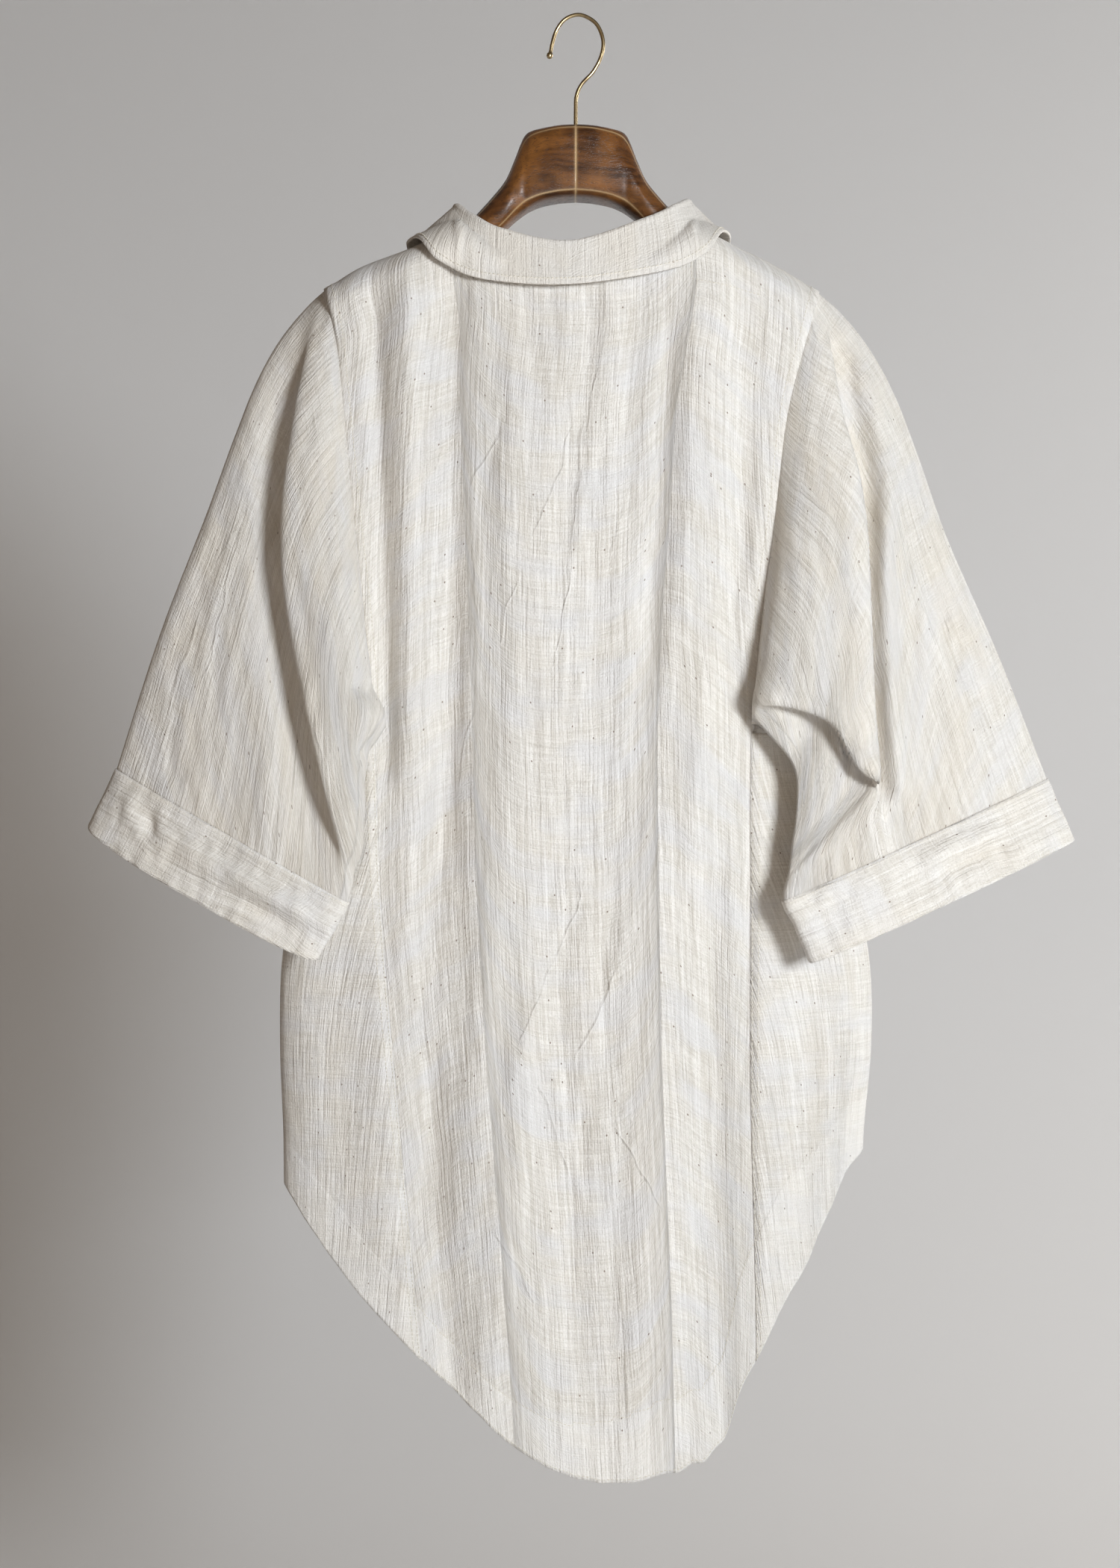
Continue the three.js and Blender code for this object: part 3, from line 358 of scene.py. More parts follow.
def bent_wire():
    rows = [{**row, "place": k} for k, row in enumerate(HOOK)]
    place = np.linspace(0, len(HOOK) - 1, HOOK_STEPS)
    x, z, radius = (line_through(rows, "place", c)(place) for c in ("x", "z", "radius"))
    along = unit(np.stack([np.gradient(x), np.gradient(z)], axis=-1))
    turn = np.linspace(0, 2 * math.pi, WIRE_SIDES, endpoint=False)[None, :]
    out = radius[:, None] * np.cos(turn)
    points = point(
        x[:, None] - along[:, 1:] * out,
        radius[:, None] * np.sin(turn),
        z[:, None] + along[:, :1] * out,
    )
    wrapped = closed_up(points)
    cut = np.stack([lengths_along(wrapped, 1), lengths_along(wrapped, 0)], axis=-1)
    return grid_mesh("hook_wire", points, cut, closed=True, caps=True)


def aged_brass():
    material, tree, shader = new_material("aged brass")
    body = object_places(tree)
    age = ramp(tree, noise(tree, body, 90.0, 4.0), 0.4, 0.68)
    feed(
        tree,
        shader,
        Base_Color=colour_mix(tree, age, BRASS_WORN, BRASS_AGED),
        Roughness=maths(tree, "ADD", times(tree, age, 0.24), 0.24),
        Normal=bumped(tree, noise(tree, body, 900.0), 0.2, 0.0001),
        Metallic=1.0,
    )
    return material


hook = bent_wire()
hook.data.materials.append(aged_brass())
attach(hook, "root")
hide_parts("hanger_hook")


# The back is one piece of undyed handwoven cotton, cut with a curved neck and a long round tail. It
# hangs from the shoulders in soft upright folds, pressed here and there into sharp little creases.
BODY_PLAN = table(
    "z left right deep",
    (-150, 254, 252, 42),
    (-300, 244, 238, 42),
    (-450, 224, 214, 43),
    (-595, 206, 198, 44),
    (-650, 214, 208, 45),
    (-720, 232, 230, 45),
    (-780, 243, 243, 45),
    (-850, 245, 245, 44),
    (-940, 242, 238, 42),
    (-1210, 242, 237, 38),
)
BODY_ROUNDNESS = 2.4
UNDERARM_Z = -595
SEAM_LINES = table(
    "z left right",
    (-227, -207, 200),
    (-264, -197, 190),
    (-330, -190, 173),
    (-415, -182, 163),
    (-490, -174, 153),
    (-595, -166, 144),
    (-730, -160, 143),
    (-880, -148, 143),
    (-1060, -131, 147),
    (-1210, -118, 148),
)
SHOULDER_CREST = table(
    "x z",
    (-207, -227),
    (-177, -209),
    (-140, -195.5),
    (-98, -179),
    (98, -179),
    (140, -196),
    (172, -212),
    (200, -229),
)
BACK_HEM = table(
    "x z",
    (-242, -966),
    (-174, -1055),
    (-99, -1135),
    (-46, -1184),
    (15, -1206),
    (83, -1196),
    (118, -1174),
    (136, -1129),
    (165, -1073),
    (192, -1024),
    (225, -951),
    (238, -938),
)
HEM_LEVEL = -1100
# The facing's height above the hem, from place to place.
FACING = table(
    "x rise",
    (-242, 40),
    (-190, 47),
    (-100, 41),
    (-6, 46),
    (60, 60),
    (115, 66),
    (136, 96),
    (168, 102),
    (212, 66),
    (238, 42),
)
NECK_HALF = 98
NECK_DEEP = 43
NECK_ROUNDNESS = 3
NECK_DIP = 3
BACK_NECK_Z = -221
FRONT_NECK_Z = -262
CREST_DROP = 26
NECK_DROP = 9
# The folds, each from its top to its foot. bow is how far its middle stands aside, crisp sharpens it,
# and a valley has a negative height.
BACK_FOLDS = table(
    "top foot bow wide height crisp",
    ((-166, -236), (-155, -640), 3, 8, -6, 2),
    ((-137, -225), (-138, -630), 2, 12, 7, 2),
    ((-99, -222), (-104, -700), 2, 14, -7.5, 1.8),
    ((-45, -300), (-60, -1120), 4, 34, 5, 2),
    ((-54, -322), (-76, -450), -6, 6, -1.8, 1.4),
    ((-106, -590), (-128, -1010), 4, 17, -5.5, 2),
    ((-116, -860), (-98, -1140), -3, 13, -5, 2),
    ((25, -236), (-5, -470), 4, 7, 2.2, 1.3),
    ((-10, -440), (-30, -760), 0, 16, 2.4, 2),
    ((-30, -840), (6, -985), 2, 7, 2.4, 1.4),
    ((-20, -700), (14, -1180), -3, 17, -3, 2),
    ((77, -262), (61, -540), -2, 9, -4.6, 1.7),
    ((105, -230), (100, -700), 0, 22, 7, 2),
    ((70, -640), (62, -1120), 3, 26, 5, 2),
    ((112, -760), (110, -1160), -4, 17, -3, 2),
    ((150, -236), (124, -580), -2, 11, -4, 2),
    ((176, -262), (134, -525), 0, 8, 2.2, 1.6),
    ((-196, -760), (-190, -1040), 0, 18, -4, 2),
    ((196, -740), (188, -1020), 0, 18, -4, 2),
    ((-41, -226), (-41, -280), 0, 5, -1.6, 1.6),
    ((-4, -700), (-58, -900), 3, 8, 1.6, 1.6),
    ((40, -760), (-6, -930), -3, 7, 1.4, 1.6),
)
FRONT_FOLDS = table(
    "top foot bow wide height crisp",
    ((-150, -240), (-132, -640), 3, 14, -5, 2),
    ((-104, -250), (-112, -760), 0, 22, 6, 2),
    ((-62, -330), (-74, -1060), 4, 17, -6, 1.8),
    ((-36, -420), (-48, -700), -3, 8, 2, 1.5),
    ((58, -320), (70, -1040), -4, 19, -6, 1.8),
    ((40, -620), (30, -900), 2, 9, 2, 1.5),
    ((106, -250), (116, -820), 0, 20, 6, 2),
    ((152, -260), (128, -600), 2, 12, -4, 2),
    ((-184, -700), (-176, -1010), 0, 20, -5, 2),
    ((182, -720), (176, -1000), 0, 20, -4, 2),
)
FOLD_FADE = 60
ARC_ROWS = 18
CHEST_ROWS = 92
SKIRT_ROWS = 160
BACK_COLUMNS = 148
CLOTH = 0.8
SEAM = 0.3

left_half = line_through(BODY_PLAN, "z", "left")
right_half = line_through(BODY_PLAN, "z", "right")
half_depth = line_through(BODY_PLAN, "z", "deep")
left_seam = line_through(SEAM_LINES, "z", "left")
right_seam = line_through(SEAM_LINES, "z", "right")
crest_z = line_through(SHOULDER_CREST, "x", "z")
level_hem = line_through(BACK_HEM, "x", "z")
facing_rise = line_through(FACING, "x", "rise")
# The tail's hem puckers along its stitches, most of all at the lower right.
HEM_PUCKER = 1.7
HEM_PUCKER_WIDE = 4.3


def back_hem(x):
    puckered = 0.25 + 0.75 * soft((x - 50) / 40)
    return level_hem(x) + HEM_PUCKER * puckered * np.sin(x / HEM_PUCKER_WIDE + 1.6 * np.sin(x / 17))


def half_width(x, z):
    return np.where(x < 0, left_half(z), right_half(z))


def fold_height(folds, x, z):
    total = np.zeros(np.broadcast(x, z).shape)
    for fold in folds:
        (top_x, top_z), (foot_x, foot_z) = fold["top"], fold["foot"]
        down = np.clip((top_z - z) / (top_z - foot_z), 0, 1)
        middle = mix(top_x, foot_x, down) + fold["bow"] * 4 * down * (1 - down)
        off = np.abs(x - middle) / fold["wide"]
        fade = min(FOLD_FADE, (top_z - foot_z) / 2.2)
        ends = soft((top_z + fade / 2 - z) / fade) * soft((z - foot_z + fade / 2) / fade)
        uneven = 1 + 0.16 * np.sin(z / 41 + top_x)
        total = total + fold["height"] * uneven * np.exp(-(off ** fold["crisp"])) * ends
    return total


def undulation(x, z, wide, long, seed, waves=9):
    """An uneven swell of about 1, as cloth has between its folds. Its waves are longer down than across."""
    draw = np.random.default_rng(seed)
    total = 0
    for _ in range(waves):
        a, b = draw.uniform(0.5, 1.3) / wide, draw.uniform(-1.1, 1.1) / long
        total = total + np.sin(2 * math.pi * (a * x + b * z) + draw.uniform(0, 2 * math.pi))
    return total / math.sqrt(waves)


def plain_depth(x, z):
    share = np.clip(np.abs(x) / half_width(x, z), 0, 1)
    return half_depth(z) * (1 - share**BODY_ROUNDNESS) ** (1 / BODY_ROUNDNESS)


def swollen(folds, x, z, seed, fine_seed):
    """The folds' height, with the cloth's wide and narrow swells."""
    wide, narrow = undulation(x, z, 36, 260, seed), undulation(x, z, 13, 150, fine_seed)
    return fold_height(folds, x, z) + 0.8 * wide + 0.2 * narrow


def body_y(facing, x, z):
    share = np.clip(np.abs(x) / half_width(x, z), 0, 1)
    height = np.where(facing < 0, swollen(BACK_FOLDS, x, z, 3, 5), swollen(FRONT_FOLDS, x, z, 7, 8))
    return facing * (plain_depth(x, z) + height * (1 - share**6))


def under_facing(points):
    """How far each point is below the upper edge of the hem's facing."""
    return back_hem(points[..., 0]) + facing_rise(points[..., 0]) - points[..., 2]


def neck_point(angle):
    """A point of the neckline. Angle 0 is the middle of the back, and 90 degrees the shoulder."""
    angle = np.asarray(angle, float)
    facing = np.where(np.cos(angle) > 0, -1, 1)
    reach = np.abs(np.cos(angle)) ** (2 / NECK_ROUNDNESS)
    aside = np.abs(np.sin(angle)) ** (2 / NECK_ROUNDNESS)
    dip = np.where(facing < 0, BACK_NECK_Z, FRONT_NECK_Z) - crest_z(NECK_HALF)
    x = NECK_HALF * np.sign(np.sin(angle)) * aside
    return point(x, facing * NECK_DEEP * reach, crest_z(NECK_HALF) + dip * reach**NECK_DIP)


def panel_tops(facing, x):
    """Where the columns of a panel start: on the shoulders' crest or on the neckline."""
    angle = np.arcsin(np.clip(np.abs(x) / NECK_HALF, 0, 1) ** (NECK_ROUNDNESS / 2))
    neck = neck_point(np.where(facing < 0, angle, math.pi - angle))
    shoulder = point(x, 0 * x, crest_z(x))
    tops = np.where((np.abs(x) < NECK_HALF)[:, None], neck, shoulder)
    tops[:, 0] = x
    return tops


def panel_points(facing, x_tops, left_line, right_line, hem):
    """The grid of a back or front panel, from the neck and shoulders down to its hem."""
    tops = panel_tops(facing, x_tops)
    across = (x_tops - x_tops[0]) / (x_tops[-1] - x_tops[0])

    def place(z):
        x = mix(left_line(z), right_line(z), across[None, :])
        return point(x, body_y(facing, x, z), z)

    drop = mix(CREST_DROP, NECK_DROP, np.clip(np.abs(tops[:, 1]) / NECK_DEEP, 0, 1))
    chest_z = tops[:, 2] - drop
    chest = place(chest_z[None, :])[0]
    turn = np.linspace(0, math.pi / 2, ARC_ROWS + 1)[:, None]
    arc = point(
        mix(tops[:, 0], chest[:, 0], 1 - np.cos(turn)),
        mix(tops[:, 1], chest[:, 1], np.sin(turn)),
        tops[:, 2] - drop * (1 - np.cos(turn)),
    )
    down = np.linspace(0, 1, CHEST_ROWS + 1)[1:, None]
    upper = place(mix(chest_z[None, :], UNDERARM_Z, down))
    hem_x = mix(left_line(HEM_LEVEL), right_line(HEM_LEVEL), across)
    lower = place(mix(UNDERARM_Z, hem(hem_x)[None, :], np.linspace(0, 1, SKIRT_ROWS + 1)[1:, None]))
    return np.concatenate([arc, upper, lower])


def outward(points, facing, closed=False):
    """Unit normals on the outer side of a grid. facing is -1 where its columns run left as seen from
    outside, and 1 where they run right."""
    if closed:
        along = np.roll(points, -1, axis=1) - np.roll(points, 1, axis=1)
    else:
        along = np.gradient(points, axis=1)
    return unit(facing * np.cross(np.gradient(points, axis=0), along))


EDGES = {
    "left": (np.s_[:, 0], np.s_[:, 1]),
    "right": (np.s_[:, -1], np.s_[:, -2]),
    "top": (np.s_[0], np.s_[1]),
    "bottom": (np.s_[-1], np.s_[-2]),
}


def distance_from(points, edge):
    """How far each point is from an edge of its grid, along the grid's lines."""
    axis = 1 if edge in ("left", "right") else 0
    along = lengths_along(points, axis)
    return along if edge in ("left", "top") else np.take(along, [-1], axis=axis) - along


def sewn(points, facing, lapped=(), butted=(), rise=0.9, over=1.2, band=9, closed=False, where=None):
    """Sets a piece's edges: a lapped edge is turned in and lies on its neighbour as a flat raised band,
    and a butted one ends just short of it. where is the share of the lap on each row."""
    normal = outward(points, facing, closed)
    where = np.ones((len(points), 1)) if where is None else where
    result = points.copy()
    for edge in lapped:
        share = soft(1.35 - distance_from(points, edge) / band) * where
        result += normal * (rise * share)[..., None]
    for edge in tuple(lapped) + tuple(butted):
        line, beside = EDGES[edge]
        reach = -SEAM / 2
        if edge in lapped:
            reach = mix(reach, over, where if edge in ("left", "right") else 1)
        result[line] += unit(points[line] - points[beside]) * reach
    return result


STITCH_PITCH = 3.4
STITCH_RADIUS = 0.3
# The rings that a stitch goes through: its share of the pitch, and its lift off the cloth.
STITCH_RINGS = table("share lift", (0, -0.35), (0.16, 0.1), (0.58, 0.1), (0.74, -0.35))
STITCH_SIDES = 5
sewing = []


def stitch(line, normal, pitch=STITCH_PITCH):
    """Adds a row of stitches along a line of points on the cloth's outer side."""
    line = line + normal * CLOTH / 2
    along = np.concatenate([[0], np.cumsum(np.linalg.norm(np.diff(line, axis=0), axis=1))])
    count = int(along[-1] / pitch)

    def read(at, points):
        return np.stack([np.interp(at, along, points[:, k]) for k in range(3)], axis=-1)

    turn = np.linspace(0, 2 * math.pi, STITCH_SIDES, endpoint=False)
    for ring in STITCH_RINGS:
        at = (np.arange(count) + ring["share"]) * along[-1] / count
        centre, up = read(at, line + normal * ring["lift"]), read(at, normal)
        side = unit(np.cross(read(at + 1, line) - read(at - 1, line), up))
        circle = side[:, None] * np.cos(turn)[None, :, None] + up[:, None] * np.sin(turn)[None, :, None]
        sewing.append(centre[:, None] + circle * STITCH_RADIUS)


def thread_mesh(name):
    """Makes one mesh of all the stitches added so far, and empties the list."""
    vertices, polygons, base = [], [], 0
    rings_each = len(STITCH_RINGS)
    for k in range(0, len(sewing), rings_each):
        rings = np.stack(sewing[k : k + rings_each], axis=1)
        count = len(rings)
        vertices.append(rings.reshape(-1, 3))
        start = base + np.arange(count)[:, None, None] * rings_each * STITCH_SIDES
        ring = np.arange(rings_each - 1)[None, :, None] * STITCH_SIDES
        side = np.arange(STITCH_SIDES)[None, None, :]
        after = (side + 1) % STITCH_SIDES
        quads = np.stack([start + ring + side, start + ring + after], axis=-1)
        quads = np.concatenate([quads, quads[..., ::-1] + STITCH_SIDES], axis=-1)
        polygons.extend(quads.reshape(-1, 4).tolist())
        base += count * rings_each * STITCH_SIDES
    sewing.clear()
    mesh = bpy.data.meshes.new(name)
    mesh.from_pydata((np.concatenate(vertices) * MM).tolist(), [], polygons)
    mesh.shade_smooth()
    obj = add_object(name, mesh)
    obj.data.materials.append(thread_cotton)
    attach(obj, "root")


def line_at(points, facing, edge, distance, closed=False):
    """The line of points at a distance from an edge, and the normals there."""
    normal = outward(points, facing, closed)
    away = distance_from(points, edge)
    axis = 1 if edge in ("left", "right") else 0
    if edge in ("right", "bottom"):
        away, points, normal = (np.flip(a, axis=axis) for a in (away, points, normal))
    if axis == 0:
        away, points, normal = away.T, points.transpose(1, 0, 2), normal.transpose(1, 0, 2)
    index = np.argmax(away >= distance, axis=1)
    rows = np.arange(len(away))
    low, high = away[rows, index - 1], away[rows, index]
    share = ((distance - low) / np.maximum(high - low, 1e-9))[:, None]
    line = mix(points[rows, index - 1], points[rows, index], share)
    up = mix(normal[rows, index - 1], normal[rows, index], share)
    return line, up / np.linalg.norm(up, axis=-1, keepdims=True)


def flat_places(points, middle):
    """Each point's place on the flat piece: along its row from the middle column, and down."""
    across = lengths_along(points, 1)
    across = across - across[:, middle : middle + 1]
    return np.stack([across, -lengths_along(points, 0)], axis=-1)


def woven_group():
    """Handwoven cloth in the flat piece's own places: threads, thick slubs and crinkles."""
    group = bpy.data.node_groups.new("handwoven cotton", "ShaderNodeTree")
    sockets = group.interface
    sockets.new_socket("Cut", in_out="INPUT", socket_type="NodeSocketVector")
    for name, value in (("Threads", 8500), ("Crinkle", 1)):
        sockets.new_socket(name, in_out="INPUT", socket_type="NodeSocketFloat").default_value = value
    for name in ("Tone", "Height", "Flecks", "Warm", "Cool"):
        sockets.new_socket(name, in_out="OUTPUT", socket_type="NodeSocketFloat")
    start = group.nodes.new("NodeGroupInput").outputs
    end = group.nodes.new("NodeGroupOutput").inputs
    cut = start["Cut"]

    def marks(across, down, detail=2.0, places=None):
        """Noise with so many marks to the metre across and down the cut."""
        vector = stretched(group, cloth if places is None else places, (across, down, 1))
        return noise(group, vector, detail=detail, flat=True)

    def cells(across, down, **settings):
        vector = stretched(group, cut, (across, down, 1))
        settings = {"voronoi_dimensions": "2D", **settings}
        return add_node(group, "TexVoronoi", settings, Vector=vector, Scale=1.0)

    wander = noise(group, stretched(group, cut, (18, 18, 1)), detail=1.0, flat=True, output="Color")
    cloth = shifted(group, cut, wander, 0.002)
    slubs = weighted(group, (marks(820, 34), 1), (marks(34, 820), 0.8))
    streak = marks(190, 5)
    streaks = weighted(group, (streak, 1), (marks(6, 170), 0.55))
    grain = marks(640, 560)
    rib = marks(430, 9)
    parted = add_node(group, "SeparateXYZ", Vector=cloth)
    waves = [maths(group, "SINE", times(group, parted.outputs[k], start["Threads"])) for k in (0, 1)]
    threads = times(group, *waves)
    tone = weighted(group, (slubs, 0.7), (streaks, 0.5), (grain, 0.5), (rib, 0.7))
    group.links.new(ramp(group, tone, 1.32, 1.92), end["Tone"])
    lines = cells(34, 9, feature="DISTANCE_TO_EDGE").outputs["Distance"]
    line = maths(group, "SUBTRACT", 1, ramp(group, lines, 0, 0.05))
    line = times(group, line, ramp(group, marks(17, 12), 0.47, 0.66))
    fine = weighted(group, (slubs, 0.75), (threads, 0.08), (grain, 0.6), (rib, 0.9))
    crinkle, rumple = marks(120, 19, 3.0), marks(46, 30, 3.0)
    folded = weighted(group, (crinkle, 1.15), (rumple, 1.7), (streak, 0.5), (line, 0.32))
    height = maths(group, "ADD", fine, times(group, folded, start["Crinkle"]))
    group.links.new(height, end["Height"])
    group.links.new(ramp(group, marks(26, 9, places=cut), 0.44, 0.64), end["Warm"])
    group.links.new(ramp(group, marks(14, 30, places=cut), 0.46, 0.66), end["Cool"])
    seeds = cells(118, 96)
    rare = add_node(group, "SeparateColor", Color=seeds.outputs["Color"]).outputs[0]
    small = maths(group, "LESS_THAN", seeds.outputs["Distance"], times(group, rare, 0.078))
    group.links.new(times(group, small, maths(group, "GREATER_THAN", rare, 0.94)), end["Flecks"])
    return group


def crease_group():
    """A short crease that was pressed in: a thin ridge with a hollow beside it, fading at its ends."""
    group = bpy.data.node_groups.new("pressed crease", "ShaderNodeTree")
    sockets = group.interface
    for name in ("Place", "Start", "End"):
        sockets.new_socket(name, in_out="INPUT", socket_type="NodeSocketVector")
    sockets.new_socket("Width", in_out="INPUT", socket_type="NodeSocketFloat").default_value = 0.002
    sockets.new_socket("Height", in_out="OUTPUT", socket_type="NodeSocketFloat")
    start = group.nodes.new("NodeGroupInput").outputs
    end = group.nodes.new("NodeGroupOutput").inputs

    def vectors(operation, a, b):
        return add_node(group, "VectorMath", {"operation": operation}, i0=a, i1=b)

    def falling(off, rate):
        """1 where off is 0, and less on both sides."""
        return maths(group, "EXPONENT", times(group, maths(group, "ABSOLUTE", off), rate))

    run = vectors("SUBTRACT", start["End"], start["Start"]).outputs[0]
    off = vectors("SUBTRACT", start["Place"], start["Start"]).outputs[0]
    long = vectors("DOT_PRODUCT", run, run).outputs["Value"]
    share = maths(group, "DIVIDE", vectors("DOT_PRODUCT", off, run).outputs["Value"], long)
    turned = vectors("CROSS_PRODUCT", run, (0, 0, 1)).outputs[0]
    side = vectors("DOT_PRODUCT", off, turned).outputs["Value"]
    side = maths(group, "DIVIDE", side, maths(group, "SQRT", long))
    side = maths(group, "DIVIDE", side, start["Width"])
    hollow = times(group, falling(maths(group, "SUBTRACT", side, 1.6), -0.9), 0.45)
    shape = maths(group, "SUBTRACT", falling(side, -1), hollow)
    in_middle = times(group, share, maths(group, "SUBTRACT", 1, share))
    group.links.new(times(group, shape, ramp(group, in_middle, 0, 0.16)), end["Height"])
    return group


CREASE_HEIGHT = 0.75
woven = woven_group()
pressed = crease_group()
COTTON_LIGHT = (0.93, 0.894, 0.842, 1)
COTTON_DARK = (0.59, 0.545, 0.48, 1)
COTTON_SHADE = (0.79, 0.706, 0.585, 1)
COTTON_COOL = (0.77, 0.765, 0.785, 1)
SEED_BROWN = (0.16, 0.09, 0.05, 1)
THREAD_DARK = (0.62, 0.56, 0.45, 1)
THREAD_LIGHT = (0.83, 0.79, 0.7, 1)


def cotton(name, creases=(), warmth=0.35, crinkle=1.0, turned=0.0):
    """Undyed cotton. creases are (x, z, x, z, width) in millimetres as seen from the back. warmth is the
    share of the warmer, darker yarn, which on the collar is also painted shade, and turned the weave's turn
    on the piece in degrees."""
    material, tree, shader = new_material(name)
    flat = add_node(tree, "UVMap", {"uv_map": "cut"}).outputs[0]
    cut = add_node(tree, "Mapping", Vector=flat, Rotation=(0, 0, math.radians(turned))).outputs[0]
    weave = add_node(tree, "Group", {"node_tree": woven}, Cut=cut, Crinkle=crinkle).outputs
    doubled = add_node(tree, "Attribute", {"attribute_name": "doubled"}).outputs["Fac"]
    yarn = colour_mix(tree, times(tree, weave["Tone"], 0.85), COTTON_LIGHT, COTTON_DARK)
    cool = colour_mix(tree, times(tree, weave["Cool"], 0.5), yarn, COTTON_COOL)
    warm = maths(tree, "ADD", times(tree, weave["Warm"], 0.5), 0.35)
    aged = colour_mix(tree, times(tree, warm, warmth), cool, COTTON_SHADE)
    paler = colour_mix(tree, times(tree, doubled, 0.35), aged, COTTON_LIGHT)
    flecked = colour_mix(tree, times(tree, weave["Flecks"], 0.75), paler, SEED_BROWN)
    height = weighted(tree, (weave["Height"], 1), (doubled, 0.9))
    parted = add_node(tree, "SeparateXYZ", Vector=object_places(tree)).outputs
    seen = add_node(tree, "CombineXYZ", X=parted[0], Y=parted[2]).outputs[0]
    place = shifted(tree, seen, noise(tree, seen, 24.0, 1.0, flat=True, output="Color"), 0.012)
    for x0, z0, x1, z1, width in creases:
        ends = {"Start": (x0 * MM, z0 * MM, 0), "End": (x1 * MM, z1 * MM, 0), "Width": width * MM}
        crease = add_node(tree, "Group", {"node_tree": pressed}, Place=place, **ends)
        height = weighted(tree, (height, 1), (crease.outputs[0], CREASE_HEIGHT))
    feed(
        tree,
        shader,
        Base_Color=flecked,
        Roughness=maths(tree, "ADD", times(tree, weave["Tone"], -0.08), 0.93),
        Normal=bumped(tree, height, 1.0, 0.0009),
        Sheen_Weight=0.25,
        Sheen_Roughness=0.5,
        Specular_IOR_Level=0.25,
    )
    return material


def hang_cloth(
    name, points, cut, material, node, closed=False, thick=CLOTH, doubled=None
):
    """Makes a piece of cloth on its grid, gives it its thickness, and sets it in the frame."""
    piece = grid_mesh(name, points, cut, closed=closed)
    mark_points(piece, "doubled", np.zeros(len(piece.data.vertices)) if doubled is None else doubled)
    piece.data.materials.append(material)
    wall = piece.modifiers.new("thickness", "SOLIDIFY")
    wall.thickness = thick * MM
    wall.offset = 0
    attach(piece, "root")
    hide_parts(node)


thread_cotton, thread_tree, thread_shader = new_material("sewing thread")
strands = ramp(thread_tree, noise(thread_tree, object_places(thread_tree), 1500.0), 0.3, 0.7)
yarn = colour_mix(thread_tree, strands, THREAD_DARK, THREAD_LIGHT)
feed(thread_tree, thread_shader, Base_Color=yarn, Roughness=0.85)

BACK_CREASES = [
    (23, -292, 16, -346, 1.0),
    (13, -334, 9, -388, 1.7),
    (9, -378, 2, -446, 1.6),
    (4, -450, -16, -537, 0.9),
    (6, -337, -30, -437, 0.9),
    (75, -292, 72, -386, 1.1),
    (72, -382, 58, -448, 1.0),
    (-54, -346, -81, -394, 1.2),
    (-79, -424, -72, -512, 1.0),
    (-57, -520, -38, -458, 0.9),
    (-31, -846, 6, -975, 1.5),
    (18, -700, -42, -850, 1.1),
    (44, -770, 4, -860, 1.0),
    (-74, -560, -92, -640, 1.1),
    (34, -905, 80, -980, 1.1),
    (-64, -990, -20, -1060, 1.1),
]
# How far in from a piece's edge its stitches are, and over what height the facing's upper edge fades.
SEAM_STITCH_IN = 7.6
HEM_STITCH_IN = 2.6
FACING_FADE = 5
# Short rows of stitches that run out from under the collar, from corner to corner.
SHORT_ROWS = [
    [(94, -205), (94, -226), (122, -231), (151, -238)],
    [(-96, -206), (-98, -228)],
]
x_tops = np.linspace(SHOULDER_CREST[0]["x"], SHOULDER_CREST[-1]["x"], BACK_COLUMNS + 1)
back_points = panel_points(-1, x_tops, left_seam, right_seam, back_hem)
hem_band = under_facing(back_points)
above_underarm = (np.arange(len(back_points)) < ARC_ROWS + CHEST_ROWS)[:, None] * 1.0
back_shown = sewn(back_points, 1, lapped=("left", "right"), butted=("top",), where=above_underarm)
for edge in ("left", "right"):
    line, normal = line_at(back_shown, 1, edge, SEAM_STITCH_IN)
    stitch(line[: ARC_ROWS + CHEST_ROWS], normal[: ARC_ROWS + CHEST_ROWS])
stitch(*line_at(back_shown, 1, "bottom", HEM_STITCH_IN))
at = np.argmax(hem_band > 0, axis=0)
columns = np.arange(BACK_COLUMNS + 1)
stitch(back_shown[at, columns], outward(back_shown, 1)[at, columns])
for row in SHORT_ROWS:
    at, corners = np.linspace(0, 1, 60), np.linspace(0, 1, len(row))
    x, z = (np.interp(at, corners, c) for c in np.array(row, float).T)
    stitch(point(x, body_y(-1, x, z), z), point(0 * x, -1, 0))
thread_mesh("thread_of_the_back")
hang_cloth(
    "back_cloth",
    back_shown[:, ::-1],
    flat_places(back_points, BACK_COLUMNS // 2)[:, ::-1],
    cotton("cotton of the back", BACK_CREASES, warmth=0.22),
    "back_panel",
    doubled=soft(hem_band / FACING_FADE)[:, ::-1],
)


# A side gore wraps each side from the back seam to the front seam, below the underarm. It is cut from
# the same cotton as a long wedge, which makes the body flare, and its foot goes on the hem's curve.
SIDE_COLUMNS = 34
SIDE_ROWS = 150
GORE_STITCHES_IN = (1.8, 8.0)
FRONT_HEM = table(
    "x z",
    (-242, -966),
    (-170, -1030),
    (-80, -1082),
    (0, -1098),
    (80, -1080),
    (170, -1022),
    (238, -938),
)
front_hem = line_through(FRONT_HEM, "x", "z")


def side_point(side, turn, z):
    seam = np.abs(left_seam(z) if side < 0 else right_seam(z))
    half = half_width(side, z)
    start = np.arccos((seam / half) ** (BODY_ROUNDNESS / 2))
    angle = mix(-start, start, turn)
    x = side * half * np.cos(angle) ** (2 / BODY_ROUNDNESS)
    y = np.where(angle < 0, body_y(-1, x, z), body_y(1, x, z))
    return point(x, np.where(np.abs(angle) < 1e-6, 0, y), z)


